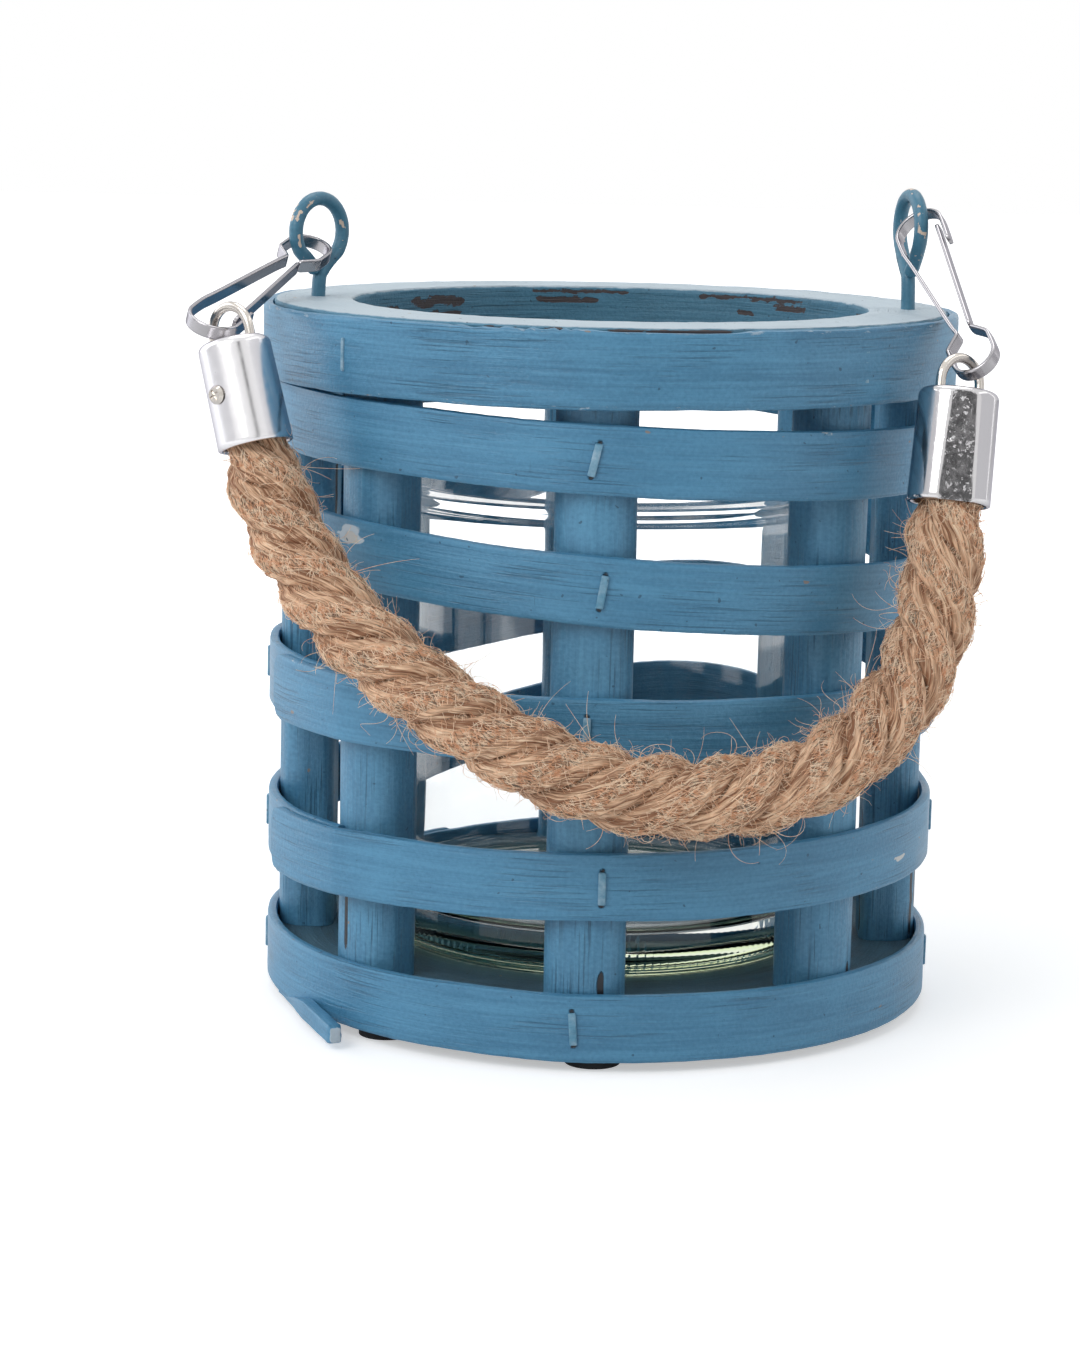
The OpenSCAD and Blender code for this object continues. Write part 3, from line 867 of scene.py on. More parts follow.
def round_bar(width: float, height: float, corner: float, steps: int) -> Section:
    """Points round a bar's section with rounded corners.

    Args:
        width: size along the first axis.
        height: size along the second axis.
        corner: radius of the corners.
        steps: how many points go round.

    Returns:
        The two coordinates of each point and how near a corner it is, the first point given again at the end.
    """
    rub_reach = 0.8
    quarter = math.pi / 2 * corner
    flat_w, flat_h = width - 2 * corner, height - 2 * corner
    total = 4 * quarter + 2 * flat_w + 2 * flat_h
    out = []
    for i in range(steps + 1):
        s = total * (i % steps) / steps
        x, y, near = 0.0, 0.0, 0.0
        for k, flat in enumerate((flat_h, flat_w, flat_h, flat_w)):
            facing = math.pi / 2 * k
            cx = (flat_w / 2) * (1, -1, -1, 1)[k]
            cy = (flat_h / 2) * (1, 1, -1, -1)[k]
            if s <= flat:
                across, along = math.cos(facing), math.sin(facing)
                x = cx + across * corner + along * (flat - s)
                y = cy + along * corner - across * (flat - s)
                near = 1 - clamp(min(s, flat - s) / rub_reach)
                break
            s -= flat
            if s <= quarter:
                a = facing + s / corner
                x, y, near = cx + math.cos(a) * corner, cy + math.sin(a) * corner, 1.0
                break
            s -= quarter
        out.append((x, y, near))
    return out


def pick(section: Section, share: float) -> Point:
    """The point of a section at a share of the way round."""
    return section[round(share * (len(section) - 1))]


# ---------------------------------------------------------------- basket


# Steps along and round each kind of piece.
HOOP_GRID = (560, 52)
STAVE_GRID = (190, 60)
BAND_GRID = (420, 56)
RING_GRID = (360, 84)
SPLINTER_GRID = (90, 28)
BASE_STEPS = 240
HOOP_END = 3.0  # radius of the corners of a hoop's covering end
HOOP_1_NARROWS = 1.8  # how much of the top hoop's lower edge is missing at the back
RING_FRONT_WIDER = 0.8  # how much wider the ring's upper face is at the front
FAR = 9.0  # beyond this a staple doesn't matter
# angle, depth and width of each staple of the band
RIM_STAPLES = ((224.0, 0.2, 0.55), (314.0, 0.55, 1.0), (46.0, 0.2, 0.55), (136.0, 0.2, 0.55))
SPLINTER_FROM = (-47.8, -17.6, 3.5)
SPLINTER_LENGTH = 27.4
SPLINTER_HEADING = -66.4


class Basket:
    """The painted wooden body: ring, band, staves, hoops, staples, base and pads."""

    body = "basket"

    def __init__(self, plan: Plan, finishes: Finishes) -> None:
        self.plan = plan
        self.finishes = finishes

    def hoop_z(self, hoop: HoopPlan, angle: float) -> float:
        """Height of the middle of a hoop at an angle in degrees."""
        a = math.radians(angle)
        back = max(0.0, math.sin(a)) ** 2
        x = self.plan.hoop_in * math.cos(a)
        return hoop.height + hoop.slope * x * (1 - back) + (hoop.back_slope * x + hoop.rise) * back

    def pins(self, hoop: HoopPlan) -> List[Pair]:
        """Angle and lean of each staple of a hoop."""
        front = Stave.stave_front.value + hoop.pin_shift
        plain = [(s.value, 0.0) for s in (Stave.stave_left, Stave.stave_right, Stave.stave_back)]
        return [(front, hoop.pin_lean), *plain]

    def from_pin(self, pins: Sequence[Pair], angle: float, y: float, r: float) -> Pair:
        """Distances across and along the nearest staple, in millimetres."""
        best = (FAR, FAR)
        for at, lean in pins:
            round_way = (angle - at + 180.0) % 360.0 - 180.0
            u = math.radians(round_way) * r
            if abs(u) < abs(best[0]):
                c, s = polar(1.0, lean)
                best = (clamp(u * c + y * s, -FAR, FAR), y * c - u * s)
        return best

    def hoop(self, hoop: HoopPlan) -> None:
        """One wrapped strip with slightly wavy edges and a rounded covering end."""
        p = self.plan
        section = round_bar(p.hoop_t, p.hoop_w, 0.42, HOOP_GRID[1])
        turn_all = 360.0 + hoop.lap - 1
        seed = hoop.height
        half = p.hoop_w / 2
        pins = self.pins(hoop)

        def place(u: float, v: float) -> Spot:
            t = u * turn_all
            a = hoop.end + t
            along = math.radians(t) * p.hoop_in
            layer = (p.hoop_t + p.lap_gap) * clamp((hoop.lap + p.lap_ramp - t) / p.lap_ramp)
            x, y, near = pick(section, v)
            trim = HOOP_END - math.sqrt(max(0.0, HOOP_END**2 - max(0.0, HOOP_END - along) ** 2))
            y = math.copysign(min(abs(y), half - trim), y)
            edge = clamp(abs(y) / half)
            y += 0.22 * edge**3 * drift(along * 0.06, seed, 3 if y > 0 else 7)
            y += 0.05 * edge**3 * drift(along * 0.6, seed, 3 if y > 0 else 7)
            bow = 0.05 * drift(along * 0.05, y * 0.2, seed) + 0.03 * drift(along * 0.25, y * 1.6, seed)
            near = max(near, 1 - clamp(along / 1.2))
            out_x, out_y = polar(p.hoop_in + layer + p.hoop_t / 2 + x + bow, a)
            z = self.hoop_z(hoop, a) + y
            if hoop.name == "hoop_1" and y < 0:
                z += HOOP_1_NARROWS * edge * clamp(3 * math.sin(math.radians(a)) - 0.4)
            scar, sliver = self.scars(hoop, out_x, out_y, z)
            worn = near * (0.45 + 0.9 * drift(along * 0.045, seed, y * 0.05))
            pin = self.from_pin(pins, a, y, p.hoop_in)
            return out_x, out_y, z, max(worn, sliver), max(0.12 * near, scar), 0.0, *pin

        sheet = Sheet(hoop.name + "_wood")
        strip = (math.radians(turn_all) * p.hoop_in * MM, 0.0225)
        sheet.bend(*HOOP_GRID, place, strip, (seed * 0.13, seed * 0.07))
        if hoop.name == "hoop_5":
            self.splinter(sheet)
        sheet.finish(hoop.name, self.body, self.finishes.paint(HOOP_PAINT))

    def scars(self, hoop: HoopPlan, x: float, y: float, z: float) -> Pair:
        """How pale and how torn a hoop is at a spot, from its few torn places."""
        pale, torn = 0.0, 0.0
        for scar in SCARS:
            if scar.hoop == hoop.name and y < 0:
                off = math.hypot((x - scar.x) / scar.wide, (z - scar.z) / scar.high)
                off += 0.5 * drift(x * 1.1, z * 1.1)
                pale = max(pale, smooth(1.25, 0.75, off) * scar.pale)
                torn = max(torn, smooth(1.1, 0.6, off) * scar.torn)
        return pale, torn

    def splinter(self, sheet: Sheet) -> None:
        """The thick end of the lowest strip that stands off straight."""
        section = round_bar(2.0, 2.8, 0.35, SPLINTER_GRID[1])
        ahead = heading(SPLINTER_HEADING, -0.045).normalized()
        out = Vector((ahead.y, -ahead.x, 0)).normalized()
        start = Vector(SPLINTER_FROM)

        def place(u: float, v: float) -> Spot:
            x, y, near = pick(section, v)
            along = u * SPLINTER_LENGTH
            chip = 0.16 * drift(along * 0.7, x, y) if u > 0.95 else 0.05 * drift(along * 0.3, x, y)
            slim = smooth(0.10, 0.60, u)
            end = 1 - 0.25 * smooth(0.965, 1.0, u)
            x, y = x * end, y * end * (0.35 + 0.65 * slim) - 1.5 * (1 - slim)
            q = start + ahead * (along + (chip * 3 if u > 0.97 else 0)) + Vector((0, 0, y + chip))
            q -= out * (x + chip + 1.3 * (1 - slim))
            return q.x, q.y, q.z, max(0.55 * near, smooth(0.975, 0.99, u)), smooth(0.985, 0.995, u)

        sheet.bend(*SPLINTER_GRID, place, (SPLINTER_LENGTH * MM, 0.0088), (0.4, 0.2))

    def stave(self, stave: Stave) -> None:
        """One upright stave with a rounded outer face, with painted shade at its edges and under the ring."""
        p = self.plan
        low, high = p.floor_z, p.ring_z
        half, deep = p.stave_w / 2, p.stave_t / 2
        outline: Section = []
        for x, t, near in round_bar(p.stave_t, p.stave_w, p.stave_corner, STAVE_GRID[1]):
            crown = t * t / (2 * p.stave_crown) * smooth(-deep, deep, x)
            outline.append((p.stave_apex - deep + x - crown, t, near * smooth(0, deep, x)))
        ca, sa = polar(1.0, stave.value)
        seed = stave.value * 0.37
        cracks = [crack for crack in CRACKS if crack.stave is stave]

        def place(u: float, v: float) -> Spot:
            z = low + (high - low) * u
            r, t, near = pick(outline, v)
            t += 0.12 * drift(z * 0.05, seed, t * 0.05) * (abs(t) / half)
            r += 0.07 * drift(z * 0.05, t * 0.25, seed) + 0.04 * drift(z * 0.12, t * 1.4, seed)
            r = min(r, p.stave_apex + 0.05)
            # Painted shade: darker towards the sides, where the rounded face turns from the light, and just
            # under the ring, which shades it; both join the real cracks in the dark number.
            side = 0.35 * smooth(0.55, 1.0, abs(t) / half)
            under = 0.38 * smooth(high - 7, high - 1, z)
            dark = max(side, under, *(crack.at(z, t) for crack in cracks))
            return r * ca - t * sa, r * sa + t * ca, z, near * 0.3, 0.0, dark, FAR, FAR

        sheet = Sheet(stave.name + "_wood")
        sheet.bend(*STAVE_GRID, place, ((high - low) * MM, 0.030), (seed * 0.1, seed * 0.23))
        sheet.finish(stave.name, self.body, self.finishes.paint(STAVE_PAINT), 50)

    def band(self) -> None:
        """The thin band round the rim, with a rough upper edge that dips where the joint is open."""
        p = self.plan
        half_t, half_h = p.band_t / 2, p.band_h / 2
        section = round_bar(p.band_t, p.band_h, 0.5, BAND_GRID[1])

        def place(u: float, v: float) -> Spot:
            a = 2 * math.pi * u
            x, y, near = pick(section, v)
            c, s = math.cos(a) * 16, math.sin(a) * 16
            edge = clamp(abs(y) / half_h)
            rough = 0.14 * drift(c * 0.25, s * 0.25, y) + 0.08 * drift(c, s, y)
            y += edge**3 * (rough - 0.04)
            if y > 0:
                left = smooth(-0.55, -0.95, math.cos(a)) * smooth(0.3, -0.1, math.sin(a))
                inner = smooth(-half_t, 0.1, half_t - x - 0.4)
                y -= edge**2 * 0.35 * left
                y -= edge**2 * 0.42 * clamp(self.bare_joint(a) / 2.4) * inner
            x += 0.06 * drift(c * 0.4, s * 0.4, y * 0.3) + 0.03 * drift(c * 1.5, s * 1.5, y * 1.5)
            r = min(p.rim_r - half_t + x, p.rim_r + 0.12)
            return r * math.cos(a), r * math.sin(a), p.band_z + half_h + y, near, 0.15 * near

        sheet = Sheet("rim_band_wood")
        sheet.bend(*BAND_GRID, place, (2 * math.pi * p.rim_r * MM, 0.025), (0.2, 0.1))
        sheet.finish("rim_band", self.body, self.finishes.paint(BAND_PAINT))

    def ring(self) -> None:
        """The thick ring at the top: pale on its upper face from a painted sheen, dark and chipped inside."""
        p = self.plan
        outer = p.rim_r - p.band_t - 0.1
        half_w, half_h = (outer - p.hole_r) / 2, p.ring_h / 2
        mid_r, mid_z = (outer + p.hole_r) / 2, p.ring_z + half_h
        section = round_bar(2 * half_w, p.ring_h, 0.45, RING_GRID[1])

        def place(u: float, v: float) -> Spot:
            a = 2 * math.pi * u
            x, y, near = pick(section, v)
            c, s = math.cos(a) * 14, math.sin(a) * 14
            top = smooth(half_h - 0.6, half_h - 0.15, y)
            joint = smooth(half_w - 0.5, half_w - 0.1, x) * smooth(half_h - 1.9, half_h - 1.1, y)
            inside = smooth(0.6 - half_w, 0.2 - half_w, x) * (1 - top)
            wear = 0.25 * near + inside * self.bare_inside(a, y - half_h)
            wear = max(wear * (1 - 0.8 * top), joint * self.bare_joint(a))
            x += 0.07 * drift(c * 0.5, s * 0.5, y) + 0.04 * drift(c * 2, s * 2, y * 2)
            x -= RING_FRONT_WIDER * clamp(-math.sin(a)) ** 3 * smooth(half_w - 1, -half_w, x)
            y += top * (0.06 * drift(c * 1.2, s * 1.2, x) - 0.03)
            r = min(mid_r + x, outer + 0.03)
            # Painted sheen: the upper face turns pale through the pale number, standing in for the bright
            # surroundings glancing off it.
            return r * math.cos(a), r * math.sin(a), mid_z + y, wear, top * (1 - joint)

        sheet = Sheet("top_ring_wood")
        sheet.bend(*RING_GRID, place, (2 * math.pi * mid_r * MM, 0.046), (0.3, 0.4))
        sheet.finish("top_ring", self.body, self.finishes.paint(RING_PAINT))

    def bare_inside(self, a: float, down: float) -> float:
        """How bare the ring's inner wall is at an angle and depth: a few bars where paint is missing."""
        x = self.plan.hole_r * math.cos(a)
        bare = 0.0
        if math.sin(a) > 0:
            x += 0.9 * drift(down * 1.3, a * 20)
            down += 0.3 * drift(x * 0.6, 7.0) + 0.2 * drift(x * 1.9, 3.0)
            for left, right, at, high in BARE_BARS:
                run = smooth(left - 0.5, left + 0.3, x) * smooth(right + 0.5, right - 0.3, x)
                bare = max(bare, run * smooth(high / 2 + 0.35, high / 2 - 0.15, abs(down + at)))
        return 1.95 * bare

    def bare_joint(self, a: float) -> float:
        """How bare the ring is along its joint with the band: open at the front, broken to its left."""
        degrees = math.degrees(a) % 360
        open_part = smooth(266, 272, degrees) * smooth(294, 288, degrees)
        broken = smooth(243, 247, degrees) * smooth(268, 262, degrees)
        broken *= smooth(-0.15, 0.1, drift(degrees * 1.7))
        return 2.0 * max(open_part, broken)

    def base(self) -> None:
        """The rough base disc that the jar and the staves stand on, painted pale under the jar as a painted
        reflection.
        """
        p = self.plan
        r, low, high = p.base_r, p.base_z, p.floor_z
        flat = r - 0.4
        profile = [(0.0, low), (r - 0.6, low), (r, low + 0.6), (r, high - 0.5), (flat, high)]
        profile += [(flat - i * flat / 40, high) for i in range(1, 41)]
        n = len(profile) - 1

        def place(u: float, v: float) -> Spot:
            a = 2 * math.pi * u
            r, z = profile[round(v * n)]
            x, y = r * math.cos(a), r * math.sin(a)
            if z > high - 0.1 and r > p.jar_r + 1:
                z += 0.10 * drift(x * 0.5, y * 0.5, 1.0) + 0.06 * drift(x * 1.6, y * 1.6, 4.0) - 0.06
            # Painted reflection: pale under the jar, so that the jar's foot shows bright like glass
            # reflecting the bright surroundings.
            return x, y, z, 0.3, 0.25 + 0.75 * smooth(p.jar_r - 1, p.jar_r - 4, r)

        sheet = Sheet("base_disc_wood")
        sheet.bend(BASE_STEPS, n, place, (0.3, 0.105), (0.7, 0.3))
        sheet.finish("base_disc", self.body, self.finishes.paint(BASE_PAINT))

    def staples(self) -> None:
        """The wire crowns that pin each strip, painted over."""
        p = self.plan
        paint = self.finishes.paint(STAPLE_PAINT)
        sheet = Sheet("hoop_staples_wire")
        for hoop in HOOPS:
            for angle, lean in self.pins(hoop):
                self.staple(sheet, p.hoop_in + p.hoop_t, angle, self.hoop_z(hoop, angle), lean)
        sheet.finish("hoop_staples", self.body, paint)
        sheet = Sheet("rim_staples_wire")
        for angle, sunk, wide in RIM_STAPLES:
            self.staple(sheet, p.rim_r - sunk, angle, p.band_z + p.band_h / 2, 0, wide)
        sheet.finish("rim_staples", self.body, paint)

    def staple(self, sheet: Sheet, r: float, angle: float, z: float, lean: float, wide: float = 1.1) -> None:
        """One staple: a rounded crown and two legs.

        Args:
            sheet: the mesh that it is added to.
            r: radius of the face that it holds.
            angle: where it stands round the basket.
            z: height of its middle.
            lean: how far it leans, in degrees.
            wide: its width.
        """
        spin = Matrix.Translation((0, 0, z)) @ about(angle, "Z")
        spin = spin @ Matrix.Translation((r, 0, 0)) @ about(lean, "X")
        sheet.block((0.5, wide, 4.7), spin @ Matrix.Translation((0.3, 0, 0)), 0.2)
        for side in (-1, 1):
            sheet.block((3.0, wide - 0.1, 0.45), spin @ Matrix.Translation((-1.3, 0, side * 2.1)), 0.12)

    def build(self) -> None:
        """Makes every wooden piece, the staples and the pads."""
        self.ring()
        self.band()
        self.base()
        for hoop in HOOPS:
            self.hoop(hoop)
        for stave in Stave:
            self.stave(stave)
        self.staples()
        keep_node("foot_pads", self.finishes.rubber())


# ---------------------------------------------------------------- jar


JAR_HEEL = 3.0  # radius of the rounded edge round the foot
JAR_STEPS = 720
BEADS = 180  # small beads pressed round the heel


class Jar:
    """The glass jar inside the basket."""

    body = "jar"

    def __init__(self, plan: Plan, finishes: Finishes) -> None:
        self.plan = plan
        self.finishes = finishes

    def profile(self) -> List[Pair]:
        """Radius and height round the wall, from the middle underneath to the middle inside."""
        p = self.plan
        r, wall, heel, inner = p.jar_r, p.jar_wall, JAR_HEEL, p.jar_r - p.jar_wall
        out: List[Pair] = [(0.0, 0.8), (r * 0.4, 0.8), (r - 9, 0.8), (r - 8, 0.4), (r - 7, 0.0)]
        out += arc(r - heel, heel, heel, range(-90, 1, 10))
        z = heel
        while z < p.jar_h - 2.0:
            z += 0.45 if z > p.jar_h - 9 else 2.4
            bead = 0.30 * math.exp(-(((z - p.jar_h + 6.4) / 0.7) ** 2))
            lip_bead = 0.30 * smooth(p.jar_h - 4.9, p.jar_h - 4.0, z)
            out.append((r - 0.32 * smooth(heel, heel + 6, z) + bead + lip_bead, z))
        lip = wall / 2
        out += arc(r - lip, p.jar_h - lip, lip, range(0, 181, 15))
        out += [(inner, p.jar_h * (0.94 - 0.082 * i)) for i in range(10)]
        out += arc(inner - heel, p.jar_floor + heel, heel, range(-10, -91, -10))
        out += [(r * 0.5, p.jar_floor - 0.2), (r * 0.25, p.jar_floor), (0.0, p.jar_floor)]
        return out

    def build(self) -> None:
        """Makes the jar, with small beads round its heel."""
        p = self.plan
        profile = self.profile()
        n = len(profile) - 1

        def place(u: float, v: float) -> Spot:
            a = 2 * math.pi * u
            k = round(v * n)
            r, z = profile[k]
            if 5 < k < 16 and r > p.jar_r / 2:
                r += 0.03 * math.cos(a * BEADS) * smooth(1.6, 2.6, z) * smooth(4.2, 3.2, z)
            thick = smooth(p.jar_floor + 1.0, 1.0, z) * smooth(p.jar_r - 9, p.jar_r - 2, r)
            return r * math.cos(a), r * math.sin(a), p.floor_z + z, 0.0, thick

        sheet = Sheet("glass_jar_wall")
        sheet.bend(JAR_STEPS, n, place, (0.18, 0.2))
        sheet.finish("glass_jar", self.body, self.finishes.glass(), 60)


# ---------------------------------------------------------------- wire and metal


Radius = Callable[[float], float]
Rub = Callable[[float, float], float]

WIRE_SIDES = 24
EYE_STEPS = 190
RING_STEPS = 120
STRIP_SIDES = 32
STRIP_STEP = 0.28  # length of each step along a clip's strip
GATE_ROOT = 0.43  # how far the gate starts from the end of the clip's neck
CAP_SIDES = 112
FERRULE_FACE = 0.16  # how far the right ferrule's hammered face is cut into its round


@dataclass(frozen=True)
class EyePlan:
    """Where an eye screw stands: the middle of its ring, the way it faces, and how far down it forks."""

    name: str
    centre: Point
    facing: float
    fork: float


EYES = (
    EyePlan("eye_screw_left", (-44, 0, 114.8), 230, 6.1),
    EyePlan("eye_screw_right", (44.5, 0, 117.2), -76, 6.9),
)


class Hardware:
    """Eye screws, clips, ferrules and their rings."""

    def __init__(self, plan: Plan, finishes: Finishes) -> None:
        self.plan = plan
        self.finishes = finishes

    def tube(self, sheet: Sheet, line: Line, radius: Radius, steps: int, wear: Rub) -> None:
        """Adds a round wire along a line, closed at both ends.

        Args:
            sheet: the mesh that it is added to.
            line: its middle line.
            radius: its radius at a distance along the line.
            steps: how many steps it has along the line.
            wear: how rubbed it is at a distance and an angle.
        """

        def place(u: float, v: float) -> Spot:
            s = u * line.length
            q, _, side, other = line.frame(s)
            from_end = min(1.0, min(s, line.length - s) / 0.6)
            r = radius(s) * (math.sqrt(clamp(1 - (1 - from_end) ** 2)) * 0.98 + 0.02)
            a = 2 * math.pi * v
            q = q + (side * math.cos(a) + other * math.sin(a)) * r
            return q.x, q.y, q.z, wear(s, a), 0.0

        sheet.bend(steps, WIRE_SIDES, place, (line.length * MM, 0.0066))

    def eye_screw(self, eye: EyePlan) -> None:
        """A wire eye: up the shank, round the ring and back to the fork, scraped at the front."""
        p = self.plan
        h, up, c, fork = heading(eye.facing), Vector((0, 0, 1)), Vector(eye.centre), eye.fork
        foot = Vector((eye.centre[0] * 1.004, -0.4, 97.5))
        points = [foot, foot.lerp(c - up * fork, 0.5), c - up * (fork + 1.0) - h * 0.1]
        points += [c - h * 0.75 - up * (fork - 0.3), c - h * 2.35 - up * (fork - 1.9)]
        points += [c + h * x + up * z for x, z in arc(0, 0, p.eye_r, range(220, -41, -8))]
        points += [c + h * 2.35 - up * (fork - 1.9), c + h * 0.55 - up * (fork - 0.1)]
        line = Line(spline([tuple(q) for q in points], 6), h)
        through = h.cross(up)
        front = Vector((0.1, -1, 0.15))

        def radius(s: float) -> float:
            return p.eye_wire * (1 + 0.03 * drift(s * 0.6, eye.facing) + 0.02 * drift(s * 2.0, eye.facing))

        def wear(s: float, a: float) -> float:
            q, _, side, other = line.frame(s)
            out = side * math.cos(a) + other * math.sin(a)
            rim = out.dot((q - c).normalized()) + 0.25 * abs(out.dot(through))
            scrape = max(smooth(0.55, 0.95, out.dot(front)), smooth(0.6, 1.0, rim))
            patch = drift(s * 0.45, math.cos(a) * 1.4, eye.facing)
            patch += 0.6 * drift(s * 1.6, math.sin(a) * 1.8, eye.facing)
            return smooth(13, 17, s) * scrape * (0.25 + 0.95 * smooth(0.0, 0.30, patch))

        sheet = Sheet(eye.name + "_wire")
        self.tube(sheet, line, radius, EYE_STEPS, wear)
        sheet.finish(eye.name, "basket", self.finishes.paint(EYE_PAINT), 70)

    def clip_outline(self) -> List[Pair]:
        """The bent strip's middle line, from the lip round the hook to the neck."""
        p = self.plan
        length, hook, bow, half = p.clip_l, p.hook_bow, p.base_bow, p.clip_t / 2
        neck_x, neck_z = p.neck
        out = [(hook - 0.25, length - 9.5), (hook - 0.1, length - 7.0)]
        out += arc(0, length - hook - half, hook, range(0, 181, 18))
        out += [(-hook, length - hook - 4), (-hook + 0.55, length - hook - 8.5)]
        out += [(-1.45, neck_z + 3.0), (-1.0, neck_z), (-1.25, neck_z - 0.7)]
        out += [(-bow + 0.15, 7.35), (-bow, 6.8)]
        out += arc(0, bow + half, bow, range(180, 361, 18))
        out += [(bow, 5.6), (bow - 0.15, 6.9), (neck_x + 0.3, neck_z - 0.55), p.neck]
        return out

    def strip(self, name: str, flat: Sequence[Pair], clip: ClipPlan, body: str, split: int) -> None:
        """A thin flat strip bent along an outline and put in its clip's place.

        Args:
            name: the CAD node that it stands for.
            flat: its outline in the clip's own plane.
            clip: where the clip sits.
            body: the body that it moves with.
            split: how many steps each stretch of the outline is cut into.
        """
        p = self.plan
        place_at = Matrix.Translation(clip.at) @ turn(*clip.turns)
        route = spline([(a, b, 0.0) for a, b in flat], split)
        line = Line([Vector((q.x, q.y, 0)) for q in route], Vector((0, 0, 1)))
        section = round_bar(p.clip_w, p.clip_t, 0.17, STRIP_SIDES)

        def place(u: float, v: float) -> Spot:
            s = u * line.length
            q, _, side, other = line.frame(s)
            x, y, near = pick(section, v)
            taper = 1 - 0.35 * (1 - clamp(min(s, line.length - s) / 0.5)) ** 2
            q = place_at @ (q + side * (x * taper) + other * y)
            return q.x, q.y, q.z, near, 0.0

        sheet = Sheet(name + "_strip")
        sheet.bend(int(line.length / STRIP_STEP), STRIP_SIDES, place, (line.length * MM, 0.005))
        sheet.finish(name, body, self.finishes.metal(CLIP_NICKEL), 60)

    def clip(self, name: str, clip: ClipPlan) -> None:
        """The clip's frame and its springing gate."""
        p = self.plan
        self.strip(name, self.clip_outline(), clip, clip.body, 5)
        tip, neck = Vector((p.hook_bow - 1, p.clip_l - 5.2)), Vector(p.neck)
        start = neck + (tip - neck).normalized() * GATE_ROOT
        gate = [tuple(start.lerp(tip, t)) for t in (0, 0.25, 0.5, 0.75, 1)]
        self.strip(name.replace("clip_", "clip_gate_"), gate, clip, clip.gate_body, 8)

    def cap_profile(self, length: float) -> List[Pair]:
        """Radius and depth of a ferrule, from the middle inside, down the bore and up the outside."""
        p = self.plan
        r, edge, inner = p.ferrule_r, p.ferrule_edge, p.ferrule_r - p.ferrule_wall
        low_r, low = r + p.ferrule_flare, -length + 0.15
        out: List[Pair] = [(0.0, -1.0), (inner * 0.6, -1.0), (inner - 0.5, -1.0), (inner - 0.05, -1.4)]
        out += [(inner, -1.4 - (length - 1.8) * i / 8) for i in range(1, 9)]
        out += [(inner + 0.05, -length + 0.12), (inner + 0.2, -length), (low_r - 0.15, -length), (low_r, low)]
        out += [(low_r + (r - low_r) * i / 20, low + (-edge - low) * i / 20) for i in range(1, 21)]
        out += arc(r - edge, -edge, edge, range(9, 91, 9))
        out += [((r - edge) * (1 - i / 5), 0.0) for i in range(1, 6)]
        return out

    def ferrule(self, name: str, plan: FerrulePlan) -> None:
        """A flattened cap over the rope's end. The right one has a flat hammered face."""
        p = self.plan
        at = self.ferrule_at(plan)
        at_shell = at @ about(plan.twist, "Z")
        r, inner = p.ferrule_r, p.ferrule_r - p.ferrule_wall
        profile = self.cap_profile(plan.length)
        n = len(profile) - 1
        hammered = name == "ferrule_right"

        def place(u: float, v: float) -> Spot:
            k = round(u * CAP_SIDES) % CAP_SIDES
            a = 2 * math.pi * (k + 0.5) / CAP_SIDES
            rr, z = profile[round(v * n)]
            dent = 0.02 * drift(a * 1.2, z * 0.12, plan.twist) * clamp(rr / r)
            x = (rr + dent) * math.cos(a) + math.copysign(p.ferrule_half * clamp(rr / 2.0), math.cos(a))
            y = (rr + dent) * math.sin(a)
            worn = 0.12
            if hammered and rr > inner + 0.1:
                y = max(y, -r + FERRULE_FACE + 0.01 * drift(x, z * 0.3))
                worn = max(worn, smooth(2.6, 1.6, abs(x)) * smooth(-3.5, -4.5, y) * smooth(0.5, -1.5, z))
                y += 0.10 * math.exp(-((x - 0.2) ** 2 + (z + 3.6) ** 2) / 0.5)
            q = at_shell @ Vector((x, y, z - plan.cap))
            return q.x, q.y, q.z, worn, 0.0

        sheet = Sheet(name + "_cap")
        sheet.bend(CAP_SIDES, n, place, (0.034, 0.03))
        finish = FERRULE_NICKEL if hammered else SATIN_NICKEL
        sheet.finish(name, "handle", self.finishes.metal(finish), 50, "ferrule_nickel")

    def ferrule_at(self, plan: FerrulePlan) -> Matrix:
        """Where a ferrule sits."""
        return Matrix.Translation(plan.at) @ about(plan.turns[0], "X") @ about(plan.turns[1], "Y")

    def ferrule_ring(self, name: str, plan: FerrulePlan) -> None:
        """The wire bow that goes into a ferrule."""
        bow = self.plan.ring_bow
        base = plan.crown - bow
        drop = base + plan.cap + 1.2
        flat = [(bow, base - drop + drop * i / 6) for i in range(6)]
        flat += arc(0, base, bow, range(0, 181, 9))
        flat += [(-bow, base - drop * i / 6) for i in range(1, 7)]
        at = self.ferrule_at(plan) @ about(plan.ring_twist, "Z")
        line = Line([at @ Vector((x, 0, z)) for x, z in flat], at.to_3x3() @ Vector((0, 1, 0)))
        sheet = Sheet(name + "_wire")
        self.tube(sheet, line, lambda s: self.plan.ring_wire, RING_STEPS, lambda s, a: 0.0)
        sheet.finish(name, "handle", self.finishes.metal(RING_NICKEL), 70)

    def build(self) -> None:
        """Makes all the metal pieces."""
        for eye in EYES:
            self.eye_screw(eye)
        for name, clip in CLIPS.items():
            self.clip(name, clip)
        for name, plan in FERRULES.items():
            self.ferrule(name, plan)
            self.ferrule_ring(name.replace("ferrule_", "ferrule_ring_"), plan)
        keep_node("ferrule_screw", self.finishes.metal(RING_NICKEL))


# ---------------------------------------------------------------- rope


ROPE_SPLIT = 10  # steps of the rope's line between two points of its route
STRAND_STEPS = 620
STRAND_SIDES = 40
STRAND_OUT = 2.62  # from the rope's middle to a strand's middle
STRAND_HALF = (2.86, 3.55)  # half a strand's size, out of the rope and round it
STRAND_MAP = 0.0205  # what the strip map measures round a strand, in metres
STRAY_THICK = 0.046  # half the thickness of a stray fibre
LYING_STEPS = 7


